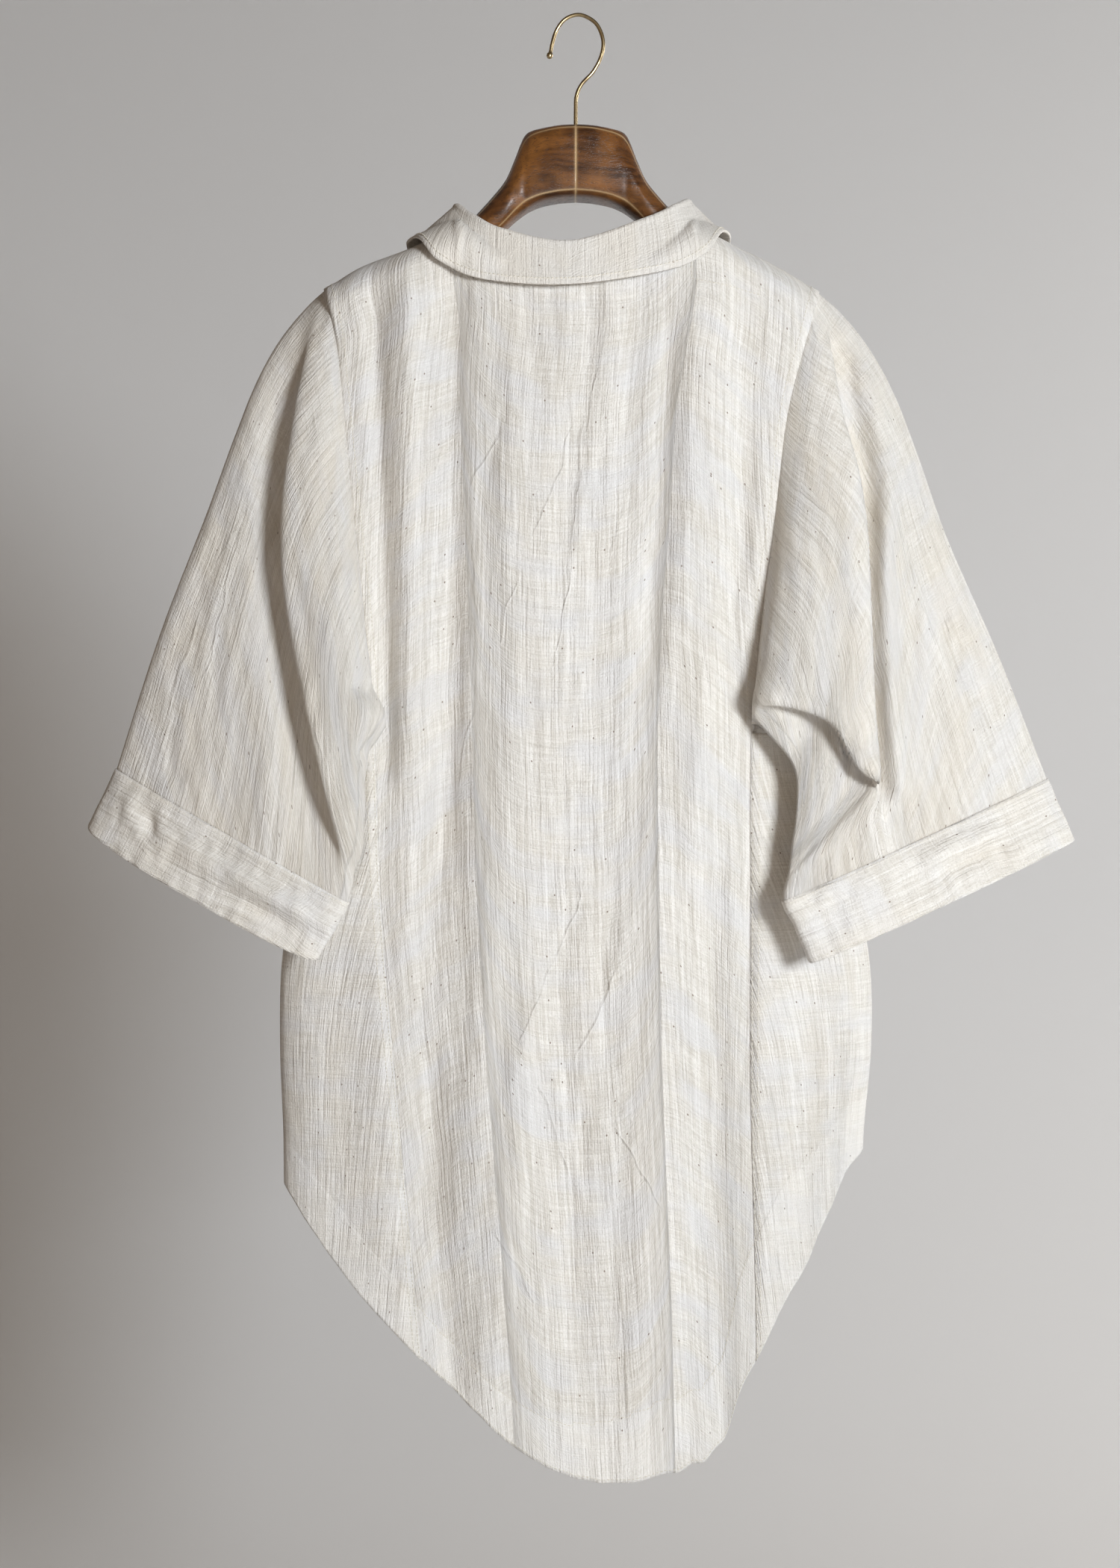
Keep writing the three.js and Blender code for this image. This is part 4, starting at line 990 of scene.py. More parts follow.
def gore_points(side):
    turn = np.linspace(0, 1, SIDE_COLUMNS + 1)[None, :]
    foot_x = side_point(side, turn, np.full_like(turn, HEM_LEVEL))[..., 0]
    foot = np.where(turn <= 0.5, back_hem(foot_x), front_hem(foot_x))
    return side_point(side, turn, mix(UNDERARM_Z, foot, np.linspace(0, 1, SIDE_ROWS)[:, None]))


for side, name in ((-1, "left"), (1, "right")):
    points = gore_points(side)
    behind = (np.arange(points.shape[1]) <= SIDE_COLUMNS // 2)[None, :]
    doubled = soft(under_facing(points) / FACING_FADE) * behind
    order = slice(None, None, -1) if side > 0 else slice(None)
    shown = sewn(points, side, lapped=("left", "right"), butted=("top",))
    for edge in ("left", "right"):
        for distance in GORE_STITCHES_IN:
            stitch(*line_at(shown, side, edge, distance))
    thread_mesh(f"thread_of_the_{name}_gore")
    hang_cloth(
        f"gore_cloth_{name}",
        shown[:, order],
        flat_places(points, SIDE_COLUMNS // 2)[:, order],
        cotton(f"cotton of the {name} gore", warmth=0.3),
        f"side_gore_{name}",
        doubled=doubled[:, order],
    )


# The fronts are two pieces of the same cotton. They are sewn to the back along the shoulders and to
# the gores at the sides, and their inner edges are closed by the button band.
PLACKET_HALF = 16
FRONT_COLUMNS = 54
FRONT_HEM_STITCH_IN = 12
for side, name in ((-1, "left"), (1, "right")):
    inner = side * (PLACKET_HALF + SEAM / 2)
    tip = SHOULDER_CREST[0]["x"] if side < 0 else SHOULDER_CREST[-1]["x"]
    x_tops = np.sort(np.linspace(tip, inner, FRONT_COLUMNS + 1))

    def inner_line(z, x=inner):
        return 0 * z + x

    lines = (left_seam, inner_line) if side < 0 else (inner_line, right_seam)
    points = panel_points(1, x_tops, *lines, front_hem)
    outer, inner_edge = ("left", "right") if side < 0 else ("right", "left")
    shown = sewn(points, -1, lapped=(outer,), butted=(inner_edge, "top"), where=above_underarm)
    line, normal = line_at(shown, -1, outer, SEAM_STITCH_IN)
    stitch(line[: ARC_ROWS + CHEST_ROWS], normal[: ARC_ROWS + CHEST_ROWS])
    stitch(*line_at(shown, -1, "bottom", FRONT_HEM_STITCH_IN))
    thread_mesh(f"thread_of_the_{name}_front")
    hang_cloth(
        f"front_cloth_{name}",
        shown,
        flat_places(points, FRONT_COLUMNS // 2),
        cotton(f"cotton of the {name} front", warmth=0.25),
        f"front_{name}_panel",
    )


# The sleeves are wide tubes of the same cotton, set flat in the armholes. Their cloth falls forward
# over the back of the body in one big fold each, and turns under at the right sleeve's underarm.
SLEEVES = {
    "left": table(
        "t outX outZ outY inX inZ inY rear fore",
        (0, -207, -227, 0, -166, -595, -31, 20, 30),
        (0.1, -232, -250, -2, -156, -586, -46, 23, 30),
        (0.2, -255, -283, -4, -161, -602, -52, 21, 30),
        (0.35, -281, -347, -6, -170, -628, -57, 18, 27),
        (0.5, -304, -411, -8, -172, -652, -60, 17, 25),
        (0.75, -343, -514, -12, -172, -690, -64, 17, 21),
        (1, -378, -626, -17, -184, -733, -66, 17, 18),
    ),
    "right": table(
        "t outX outZ outY inX inZ inY rear fore",
        (0, 200, -229, 0, 144, -595, -30, 15, 30),
        (0.1, 232, -257, -2, 143, -578, -52, 16, 30),
        (0.2, 255, -293, -4, 154, -594, -56, 18, 30),
        (0.35, 281, -360, -6, 175, -622, -57, 17, 27),
        (0.5, 306, -432, -8, 178, -650, -60, 17, 25),
        (0.75, 348, -530, -12, 173, -690, -64, 17, 21),
        (1, 388, -634, -16, 168, -732, -66, 17, 18),
    ),
}
# The line of each big fold's outer edge, and the lower rim where the right one turns under.
FOLD_EDGES = {
    "left": table(
        "z x",
        (-250, -224),
        (-350, -235),
        (-440, -238),
        (-500, -232),
        (-590, -213),
        (-700, -187),
    ),
    "right": table(
        "z x",
        (-270, 216),
        (-340, 222),
        (-400, 231),
        (-500, 234),
        (-570, 236),
        (-640, 241),
    ),
}
FOLD_RIM = table(
    "x z",
    (150, -574),
    (184, -578),
    (206, -590),
    (222, -618),
    (242, -640),
)
# Where the cloth below the right fold is pressed back, down to a crease toward the cuff.
PRESSED_LINE = table(
    "x z",
    (165, -717),
    (171, -711),
    (195, -685),
    (224, -656),
    (242, -636),
)
# How high the left sleeve's roll and the right sleeve's flap stand, and how deep the cloth beside them
# and the pressed cloth below the flap lie.
ROLL_HEIGHT = 17
ROLL_HOLLOW = 11
FLAP_HEIGHT = 19
FLAP_HOLLOW = 7
PRESSED_DEEP = 5.5
FOLD_EDGE_WIDE = 8
FOLD_OVERHANG = 7.5
SLEEVE_CLEAR = 7
RING_ROUNDNESS = 2.6
REAR_CELLS = 116
GORE_CELLS = 14
UNDERARM_SHARE = 0.86
SEATED_AT = {-1: 0.3, 1: 0.46}
SLEEVE_ROWS = 132
left_fold_edge = line_through(FOLD_EDGES["left"], "z", "x")
right_fold_edge = line_through(FOLD_EDGES["right"], "z", "x")
fold_rim = line_through(FOLD_RIM, "x", "z")
pressed_line = line_through(PRESSED_LINE, "x", "z")


def bump_at(d, middle, wide):
    return np.exp(-(((d - middle) / wide) ** 2))


def edge_roll(inside, wide):
    """Across a fold's edge: its rise from 0 to 1, and how far it leans out over what lies beside it."""
    rise = soft(0.5 + inside / wide / 2)
    lean = bump_at(inside, 0.5 * wide, 0.6 * wide) - bump_at(inside, -0.5 * wide, 0.6 * wide)
    return rise, lean


# The sleeves' own creases: from one place to another in the back's plane, how wide each is, and how
# high it stands, or how deep it is pressed where that is negative.
PRESSED_CREASES = {
    "left": [
        (-267, -444, -285, -504, 5, -1.6),
        (-285, -504, -291, -595, 5, -1.9),
        (-291, -590, -288, -661, 6, -1.3),
        (-258, -317, -315, -522, 7, 1.2),
        (-315, -515, -336, -610, 5, 1.4),
        (-249, -305, -294, -462, 5, -0.9),
        (-285, -341, -318, -426, 6, 0.9),
        (-300, -440, -330, -560, 4, -0.9),
        (-324, -577, -330, -631, 5, -1.6),
        (-342, -622, -318, -634, 4, -2.2),
        (-231, -447, -186, -500, 6, 1.1),
        (-222, -500, -176, -542, 5, -0.9),
        (-214, -380, -190, -440, 6, 0.9),
        (-256, -620, -236, -690, 8, 1.2),
    ],
    "right": [
        (183, -447, 217, -466, 4, -1.5),
        (187, -451, 211, -453, 3, -1.2),
        (156, -521, 181, -545, 5, -1.4),
        (175, -490, 214, -520, 6, 1.0),
        (244, -431, 288, -529, 5, -1.4),
        (288, -524, 301, -585, 5, -1.1),
        (247, -529, 284, -610, 6, 1.3),
        (284, -604, 296, -658, 5, -1.5),
        (288, -464, 337, -585, 5, -1.2),
        (300, -430, 350, -560, 7, 1.1),
        (222, -297, 236, -316, 3, -2.4),
        (234, -286, 221, -310, 3, -1.8),
        (262, -560, 276, -640, 6, -1.3),
        (318, -580, 346, -640, 6, 1.3),
    ],
}


def pressed_in(creases, x, z):
    """The height that a table of creases gives the cloth at a place."""
    total = 0 * x
    for x0, z0, x1, z1, wide, high in creases:
        run_x, run_z = x1 - x0, z1 - z0
        long = math.hypot(run_x, run_z)
        share = ((x - x0) * run_x + (z - z0) * run_z) / long**2
        bow = 0.06 * long * np.sin(math.pi * np.clip(share, 0, 1))
        side = ((x - x0) * run_z - (z - z0) * run_x) / long - bow
        ends = soft((share + 0.12) / 0.3) * soft((1.12 - share) / 0.3)
        shape = np.where(side > 0, bump_at(side, 0, wide), bump_at(side, 0, 1.7 * wide))
        total = total + high * ends * shape
    return total


def sleeve_swell(x, z, seed):
    return 0.9 * undulation(x, z, 46, 170, seed) + 0.4 * undulation(x, z, 15, 60, seed + 1)


def left_fold(x, z):
    """The roll at the left sleeve's inner side, with a deep hollow beside it."""
    inside = x - left_fold_edge(z)
    fade = soft((-248 - z) / 110) * soft((z + 735) / 90)
    rise, lean = edge_roll(inside, 9)
    hollow = bump_at(inside, -15, 15)
    crease_x = mix(-330, -285, soft((z + 560) / 160))
    crease = -1.8 * bump_at(x, crease_x, 9) * soft((-380 - z) / 60) * soft((z + 650) / 40)
    ripple = 1.5 * np.sin((x - 0.32 * z) / 7.5) * bump_at(x, -322, 26) * bump_at(z, -560, 70)
    height = fade * (ROLL_HEIGHT * rise - ROLL_HOLLOW * hollow) + crease + ripple
    height = height + sleeve_swell(x, z, 11)
    height = height + pressed_in(PRESSED_CREASES["left"], x, z)
    return height, -0.7 * FOLD_OVERHANG * lean * fade, 0 * x


def right_fold(x, z):
    """The right sleeve's flap: its outer edge and lower rim hang over the cloth beneath."""
    fade = soft((-262 - z) / 60)
    inside = right_fold_edge(z) - x
    above = z - fold_rim(x)
    side_rise, side_lean = edge_roll(inside, FOLD_EDGE_WIDE)
    rim_rise, rim_lean = edge_roll(above, FOLD_EDGE_WIDE)
    raised = side_rise * rim_rise
    hollow = bump_at(inside, -12, 11) * soft((z + 470) / 90)
    pressed = soft(0.5 + (z - pressed_line(x)) / 5) * soft(-above / 6) * soft(inside / 6)
    cap = -4 * bump_at(x, 219 + (z + 286) * 0.45, 5) * bump_at(z, -284, 22)
    ripple = 1.3 * np.sin((x + 0.42 * z) / 8.5) * bump_at(x, 290, 45) * soft((-430 - z) / 90)
    height = fade * (FLAP_HEIGHT * raised - FLAP_HOLLOW * hollow) - PRESSED_DEEP * pressed + cap + ripple
    height = height + sleeve_swell(x, z, 13)
    beside = soft((-285 - z) / 30) * soft((z + 660) / 30)
    lower = soft((-310 - z) / 150)
    valley = bump_at(inside, mix(-12, -6.5, lower), mix(8, 4.5, lower))
    shoulder = bump_at(inside, mix(-30, -18, lower), mix(12, 9, lower))
    height = height + beside * (mix(5, 14, lower) * shoulder - 9 * valley)
    height = height + pressed_in(PRESSED_CREASES["right"], x, z)
    shift_x = FOLD_OVERHANG * side_lean * fade * soft((above + 12) / 24)
    shift_z = -0.9 * FOLD_OVERHANG * rim_lean * soft((inside + 8) / 16) * soft((x - 146) / 16)
    return height, shift_x, shift_z


SLEEVE_FOLDS = {"left": left_fold, "right": right_fold}


def clear_of_body(p, facing):
    """Moves points of a sleeve out of the body that they hang against."""
    x, y, z = p[..., 0], p[..., 1], p[..., 2]
    chest = mix(0.7, 1, soft((-340 - z) / 190))
    gore = soft((-545 - z) / 30)
    reach = np.where(facing < 0, gore, chest)
    across = np.abs(x) / (half_width(x, np.minimum(z, UNDERARM_Z)) + SLEEVE_CLEAR)
    along = np.abs(y) / (half_depth(z) + SLEEVE_CLEAR)
    share = (across**BODY_ROUNDNESS + along**BODY_ROUNDNESS) ** (1 / BODY_ROUNDNESS)
    grow = np.where(share < reach, reach / share, 1)
    return point(x * grow, y * grow, z)


def ring_shares():
    """Which side each point of a sleeve's ring is on, and its share of the way to the inner edge."""
    k = np.arange(REAR_CELLS + 1) / REAR_CELLS
    rear = (k + (1 - np.cos(math.pi * k)) / 2) / 2
    round_gore = mix(1, UNDERARM_SHARE, np.arange(1, GORE_CELLS + 1) / GORE_CELLS)
    fore = UNDERARM_SHARE * (1 - np.arange(1, REAR_CELLS) / REAR_CELLS)
    share = np.concatenate([rear, round_gore, fore])
    facing = np.where(np.arange(len(share)) <= REAR_CELLS, -1, 1)
    return facing, share


def ring_points(row, fold):
    """The rings of a sleeve or cuff, one for each value in the row's columns."""
    facing, share = ring_shares()
    swell = (1 - np.abs(2 * share - 1) ** RING_ROUNDNESS) ** (1 / RING_ROUNDNESS)
    x = mix(row["outX"], row["inX"], share)
    z = mix(row["outZ"], row["inZ"], share) - row.get("sag", 0) * swell * (facing < 0)
    middle = mix(row["outY"], row["inY"], share)
    height, shift_x, shift_z = fold(x, z)
    behind = facing < 0
    rear = middle - (row["rear"] + height) * swell
    similar = 0.35 * height + 2.2 * undulation(x, z, 60, 260, 21)
    fore = middle + (row["fore"] + similar) * swell
    return point(x + shift_x * swell * behind, np.where(behind, rear, fore), z + shift_z * swell * behind)


def panel_edge(facing, side, count):
    """The seam at the side of the back or front, from the shoulder down to the underarm."""
    tip = SHOULDER_CREST[0] if side < 0 else SHOULDER_CREST[-1]
    seam = left_seam if side < 0 else right_seam
    chest_z = tip["z"] - CREST_DROP
    quarter = count // 4
    turn = np.linspace(0, math.pi / 2, quarter + 1)
    chest_x = seam(chest_z)
    chest_y = body_y(facing, chest_x, chest_z)
    arc = point(
        mix(tip["x"], chest_x, 1 - np.cos(turn)),
        chest_y * np.sin(turn),
        tip["z"] - CREST_DROP * (1 - np.cos(turn)),
    )
    z = mix(chest_z, UNDERARM_Z, np.linspace(0, 1, count - quarter + 1)[1:])
    return np.concatenate([arc, point(seam(z), body_y(facing, seam(z), z), z)])


def sleeve_points(name):
    side = -1 if name == "left" else 1
    fold = SLEEVE_FOLDS[name]
    t = np.linspace(0, 1, SLEEVE_ROWS + 1)[:, None] ** 1.15
    row = {c: line_through(SLEEVES[name], "t", c)(t) for c in SLEEVES[name][0]}
    rings = ring_points(row, fold)
    underarm = np.full(GORE_CELLS + 1, float(UNDERARM_Z))
    gore_top = side_point(side, np.linspace(0, 1, GORE_CELLS + 1), underarm)
    rear_edge, fore_edge = (panel_edge(facing, side, REAR_CELLS) for facing in (-1, 1))
    armhole = np.concatenate([rear_edge, gore_top[1:-1], fore_edge[1:][::-1]])
    facing, _ = ring_shares()
    seated_at = np.where(facing < 0, SEATED_AT[-1], SEATED_AT[1])
    seated = (1 - np.clip(1 - t / seated_at, 0, 1) ** 2)[..., None]
    rings = clear_of_body(mix(armhole[None], rings, seated), facing)
    for tuck in TUCKS[name]:
        beside = bump_at(rings[..., 0], tuck["x"], tuck["wide"])
        near = beside * bump_at(rings[..., 2], tuck["z"], tuck["wide"])
        near = near * (rings[..., 1] < -30) * soft(t / 0.12)
        rings = rings + near[..., None] * np.array([tuck["aside"], -tuck["out"], tuck["down"]])
    rings[0] = armhole
    return rings


# Small tucks in the sleeves' inner edges: where each one is, how wide, and how far it moves the cloth.
TUCKS = {
    "left": table(
        "x z wide aside out down",
        (-163, -581, 15, 7, 7, 0),
        (-172, -560, 8, -4, -3, 0),
        (-168, -610, 9, -4, -2, 0),
        (-172, -652, 13, 2, 3, 0),
        (-180, -705, 10, -3, -3, 0),
    ),
    "right": table(
        "x z wide aside out down",
        (152, -566, 15, -4, 6, -3),
        (186, -598, 12, 0, -6, 0),
        (170, -724, 11, -3, 6, 0),
        (192, -708, 10, 0, -4, 0),
    ),
}


def tube_places(points):
    wrapped = closed_up(points)
    return np.stack([lengths_along(wrapped, 1), -lengths_along(wrapped, 0)], axis=-1)


SLEEVE_CREASES = {
    "left": [
        (-300, -480, -330, -590, 1.1),
        (-268, -420, -300, -560, 1.0),
        (-205, -560, -188, -660, 1.1),
    ],
    "right": [
        (242, -635, 206, -676, 1.6),
        (206, -672, 172, -708, 1.6),
        (262, -400, 300, -520, 1.0),
        (300, -470, 345, -610, 1.1),
    ],
}
sleeve_grids = {}
for name in ("left", "right"):
    points = sleeve_points(name)
    sleeve_grids[name] = points
    order = slice(None) if name == "left" else slice(None, None, -1)
    shown = sewn(points, 1 if name == "left" else -1, butted=("top", "bottom"), closed=True)
    hang_cloth(
        f"sleeve_cloth_{name}",
        shown[:, order],
        tube_places(points)[:, order],
        cotton(f"cotton of the {name} sleeve", SLEEVE_CREASES[name], warmth=0.55),
        f"sleeve_{name}",
        closed=True,
    )


# The cuffs are wide doubled bands, sewn on the sleeves' ends and turned up once. Their lower edges
# are open, and the left one has a tuck where its seam was eased in.
CUFF_HEMS = table(
    "side outX outZ outY inX inZ inY rear fore sag",
    ("left", -401, -671, -18, -207, -776, -64, 20, 20, 10),
    ("right", 410, -682, -18, 188, -780, -64, 20, 20, 3),
)
CUFF_SEAM_STITCH_IN = 2.4
CUFF_HEM_STITCH_IN = 3.0
CUFF_ROWS = 24
CUFF_THICK = 1.2
CUFF_PUCKER = 0.3
# Tucks and crumples in the cuffs: band is 0 at the seam and 1 at the hem.
CUFF_TUCKS = {
    "left": table(
        "x wide band tall out",
        (-296, 22, 0.5, 0.16, 4.4),
        (-262, 26, 0.42, 0.14, 6.0),
        (-226, 24, 0.4, 0.14, 7.0),
        (-250, 30, 0.68, 0.12, -4.0),
        (-347, 7, 0.42, 0.16, -5.5),
        (-362, 10, 0.4, 0.2, 4.0),
    ),
    "right": table(
        "x wide band tall out",
        (300, 22, 0.3, 0.16, 6.5),
        (330, 12, 0.35, 0.14, 5.5),
        (316, 24, 0.55, 0.12, -5.0),
        (346, 7, 0.6, 0.3, -2.4),
        (232, 20, 0.5, 0.3, 2.0),
        (196, 9, 0.1, 0.2, 3.0),
    ),
}
for hem in CUFF_HEMS:
    name = hem["side"]
    start = sleeve_grids[name][-1]
    end = ring_points(hem, SLEEVE_FOLDS[name])
    points = mix(start[None], end[None], np.linspace(0, 1, CUFF_ROWS + 1)[:, None, None])
    order = slice(None) if name == "left" else slice(None, None, -1)
    facing = 1 if name == "left" else -1
    rise = CUFF_PUCKER * undulation(points[..., 0], points[..., 2], 16, 60, 31)
    band = np.linspace(0, 1, CUFF_ROWS + 1)[:, None]
    for tuck in CUFF_TUCKS[name]:
        beside = bump_at(points[..., 0], tuck["x"], tuck["wide"])
        near = beside * bump_at(band, tuck["band"], tuck["tall"])
        rise = rise + tuck["out"] * near * (points[..., 1] < -20)
    points = points + outward(points, facing, closed=True) * (rise * soft(band / 0.2))[..., None]
    shown = sewn(points, facing, lapped=("top",), rise=1.15, over=1.4, band=16, closed=True)
    stitch(*line_at(shown, facing, "top", CUFF_SEAM_STITCH_IN, closed=True))
    stitch(*line_at(shown, facing, "bottom", CUFF_HEM_STITCH_IN, closed=True))
    thread_mesh(f"thread_of_the_{name}_cuff")
    hang_cloth(
        f"cuff_cloth_{name}",
        shown[:, order],
        tube_places(points)[:, order],
        cotton(f"cotton of the {name} cuff", warmth=0.5, crinkle=1.3, turned=90),
        f"cuff_{name}",
        closed=True,
        thick=CUFF_THICK,
        doubled=np.full(points.shape[:2], 0.3),
    )


# The collar is cut in one piece, doubled and turned. Its stand rises from the neckline, and its fall
# rolls over and lies on the shoulders, with its points at the front.
COLLAR = table(
    "turn foldX foldY foldZ edgeX edgeY edgeZ",
    (-178, -5, 50, -240, -42, 50, -306),
    (-150, -50, 44, -217, -84, 49, -276),
    (-120, -86, 28, -180, -128, 38, -226),
    (-90, -99, 3, -156, -140, 0, -192),
    (-62, -85, -25, -170, -110, -40, -213),
    (-32, -60, -38, -185, -74, -50, -228),
    (0, -4, -44, -196, -4, -55, -233),
    (32, 60, -38, -175, 76, -49, -220),
    (62, 84, -25, -161, 106, -40, -206),
    (90, 94, 3, -154, 128, -2, -187),
    (120, 84, 28, -179, 122, 36, -224),
    (150, 49, 44, -217, 82, 49, -276),
    (178, 5, 50, -240, 42, 50, -306),
)
COLLAR_END = 178
COLLAR_ROLL = 2.6
COLLAR_THICK = 2.0
COLLAR_COLUMNS = 200
STAND_ROWS = 8
ROLL_ROWS = 8
FALL_ROWS = 18
COLLAR_STITCH_IN = 5
FALL_CLEAR = 8
ROOT_RISE = {-1: 1.7, 1: 3.1}


def lift_off(p):
    """Lifts a point of the fall clear of the shoulder or the chest that it lies on."""
    x, y, z = p
    facing = -1 if y < 0 else 1
    angle = math.asin(min(abs(x) / NECK_HALF, 1) ** (NECK_ROUNDNESS / 2))
    neck = neck_point(angle if facing < 0 else math.pi - angle)
    start, top_z = (abs(neck[1]), neck[2]) if abs(x) < NECK_HALF else (0, float(crest_z(x)))
    drop = mix(CREST_DROP, NECK_DROP, min(start / NECK_DEEP, 1))
    chest = abs(float(body_y(facing, x, min(z, top_z - drop)))) + FALL_CLEAR
    out = (abs(y) - start) / (chest - start)
    up = (z - top_z + drop) / (drop + FALL_CLEAR)
    if up <= 0:
        return (x, facing * max(abs(y), chest), z)
    reach = math.hypot(max(out, 0), up)
    if reach >= 1 or chest - start < FALL_CLEAR + 1:
        return p
    return (
        x,
        facing * (start + max(out, 0) / reach * (chest - start)),
        top_z - drop + up / reach * (drop + FALL_CLEAR),
    )


def collar_turns():
    """The columns' places round the neck, evenly spaced along the neckline."""
    fine = np.radians(np.linspace(-COLLAR_END, COLLAR_END, 4001))
    along = np.concatenate([[0], np.cumsum(np.linalg.norm(np.diff(neck_point(fine), axis=0), axis=1))])
    return np.interp(np.linspace(0, along[-1], COLLAR_COLUMNS + 1), along, fine)


def collar_points():
    turns = collar_turns()
    read = {c: line_through(COLLAR, "turn", c)(np.degrees(turns)) for c in COLLAR[0]}
    fold = point(read["foldX"], read["foldY"], read["foldZ"])
    edge = point(read["edgeX"], read["edgeY"], read["edgeZ"])
    out = unit((edge - fold) * (1, 1, 0))
    root = neck_point(turns)
    root[:, 2] += np.where(root[:, 1] > 0, ROOT_RISE[1], ROOT_RISE[-1])
    up = np.array([0, 0, 1.0])
    centre = fold - up * COLLAR_ROLL
    stand = np.linspace(0, 1, STAND_ROWS + 1)[:-1]
    rows = [mix(root, centre - out * COLLAR_ROLL, t) for t in stand]
    for turn in np.linspace(0, math.pi, ROLL_ROWS + 1):
        rows.append(centre + COLLAR_ROLL * (math.sin(turn) * up - math.cos(turn) * out))
    outer = centre + out * COLLAR_ROLL
    for t in np.linspace(0, 1, FALL_ROWS + 1)[1:]:
        rows.append(np.array([lift_off(tuple(p)) for p in mix(outer, edge, t)]))
    return np.array(rows)


collar_grid = collar_points()
fall = collar_grid[-FALL_ROWS:]
for edge in ("bottom", "left", "right"):
    line, normal = line_at(fall, 1, edge, COLLAR_STITCH_IN)
    stitch(line[1:-1], normal[1:-1] * COLLAR_THICK / CLOTH)
thread_mesh("thread_of_the_collar")
# The collar's high warmth makes it creamier, and also darker all over as painted shade for its fall, which
# faces up.
hang_cloth(
    "collar_cloth",
    collar_grid,
    flat_places(collar_grid, COLLAR_COLUMNS // 2),
    cotton("cotton of the collar", warmth=0.8, crinkle=0.8),
    "collar",
    thick=COLLAR_THICK,
    doubled=np.ones(collar_grid.shape[:2]),
)


# The button bands are long doubled strips. The upper one closes the gap between the fronts and holds
# the buttonholes, and the lower one lies behind it.
BAND_ROWS = 220
BAND_COLUMNS = 10
NECK_EDGE = float(neck_point(math.pi)[2])
BAND_RAISED = 1.45
BAND_HALF = 17.3
BAND_THICK = 1.4
BUTTONHOLES = 6
BUTTONHOLE_LONG = 15
BUTTONHOLE_WIDE = 1.6
BUTTONHOLE_PITCH = 0.9
BAND_STITCH_IN = 2.2
# How far the lower band lies inside the fronts, and how much higher it ends.
UNDER_INSET = 1.9
UNDER_SHORT = 4


def band_points(half, inset, foot):
    x = np.linspace(-half, half, BAND_COLUMNS + 1)[None, :]
    down = np.linspace(0, 1, BAND_ROWS + 1)[:, None]
    z = mix(NECK_EDGE - 1, front_hem(x) + foot, down)
    return point(x, body_y(1, x, z) - inset, z)


for name, node, half, inset, foot in (
    ("button_band", "placket_upper", BAND_HALF, -BAND_RAISED, 0),
    ("button_band_under", "placket_lower", PLACKET_HALF, UNDER_INSET, UNDER_SHORT),
):
    points = band_points(half, inset, foot)
    if name == "button_band":
        for edge in ("left", "right"):
            stitch(*line_at(points, -1, edge, BAND_STITCH_IN))
        for number in range(1, BUTTONHOLES + 1):
            low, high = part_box(f"button_{number}")
            hole_z = (low[2] + high[2]) / 2 / MM
            for side in (-1, 1):
                hole = np.full(40, side * BUTTONHOLE_WIDE / 2)
                along = hole_z + np.linspace(-0.5, 0.5, 40) * BUTTONHOLE_LONG
                rows = point(hole, body_y(1, hole, along) + BAND_RAISED + BAND_THICK / 2, along)
                stitch(rows, point(0 * hole, 1, 0), pitch=BUTTONHOLE_PITCH)
        thread_mesh("thread_of_the_button_band")
    hang_cloth(
        name,
        points,
        flat_places(points, BAND_COLUMNS // 2),
        cotton(f"cotton of the {name}", warmth=0.25, crinkle=0.7),
        node,
        thick=BAND_THICK,
        doubled=np.ones(points.shape[:2]),
    )


# The hem's facing is a shaped strip of the same cotton, sewn along the tail's edge and turned inside.
# From outside it shows through as a paler band.
FACING_ROWS = 16
FACING_INSET = 1.9
FACING_COLUMNS = 100
FACING_SIDE_COLUMNS = 22


def facing_points():
    back_rows = np.linspace(0, 1, FACING_ROWS + 1)[:, None]
    parts = []
    for side in (-1, 0, 1):
        if side == 0:
            across = np.linspace(0.01, 0.99, FACING_COLUMNS)[None, :]
            hem_x = mix(left_seam(HEM_LEVEL), right_seam(HEM_LEVEL), across)
            z = back_hem(hem_x) + facing_rise(hem_x) * (1 - back_rows)
            x = mix(left_seam(z), right_seam(z), across)
            parts.append(point(x, body_y(-1, x, z), z))
        else:
            turn = np.linspace(0.5, 0, FACING_SIDE_COLUMNS)[None, :]
            if side > 0:
                turn = turn[:, ::-1]
            foot_x = side_point(side, turn, np.full_like(turn, HEM_LEVEL))[..., 0]
            z = back_hem(foot_x) + facing_rise(foot_x) * (1 - back_rows)
            parts.append(side_point(side, turn, z))
    points = np.concatenate(parts, axis=1)
    return points - outward(points, 1) * FACING_INSET


facing_grid = facing_points()
hang_cloth(
    "facing_cloth",
    facing_grid[:, ::-1],
    flat_places(facing_grid, facing_grid.shape[1] // 2)[:, ::-1],
    cotton("cotton of the facing", warmth=0.2),
    "hem_facing",
)


# The buttons are thin discs turned from pale shell, with a raised rim. Each is sewn down with two
# bars of the same cotton thread.
BUTTON_RADIUS = 5.8
BUTTON_THICK = 2.6
BUTTON_SIDES = 40
BUTTON_COUNT = 6
THREAD_APART = 2.4
THREAD_BAR = 3.4
STRANDS_ASIDE = (-0.35, 0, 0.35)
SHELL_PALE = (0.8, 0.77, 0.7, 1)
SHELL_DARK = (0.66, 0.6, 0.5, 1)
BUTTON_PROFILE = table(
    "r rise",
    (0.02, 0.62),
    (0.55, 0.62),
    (0.68, 0.86),
    (0.84, 1.0),
    (0.96, 0.86),
    (1.0, 0.5),
    (0.93, 0.08),
    (0.8, 0.0),
    (0.02, 0.0),
)


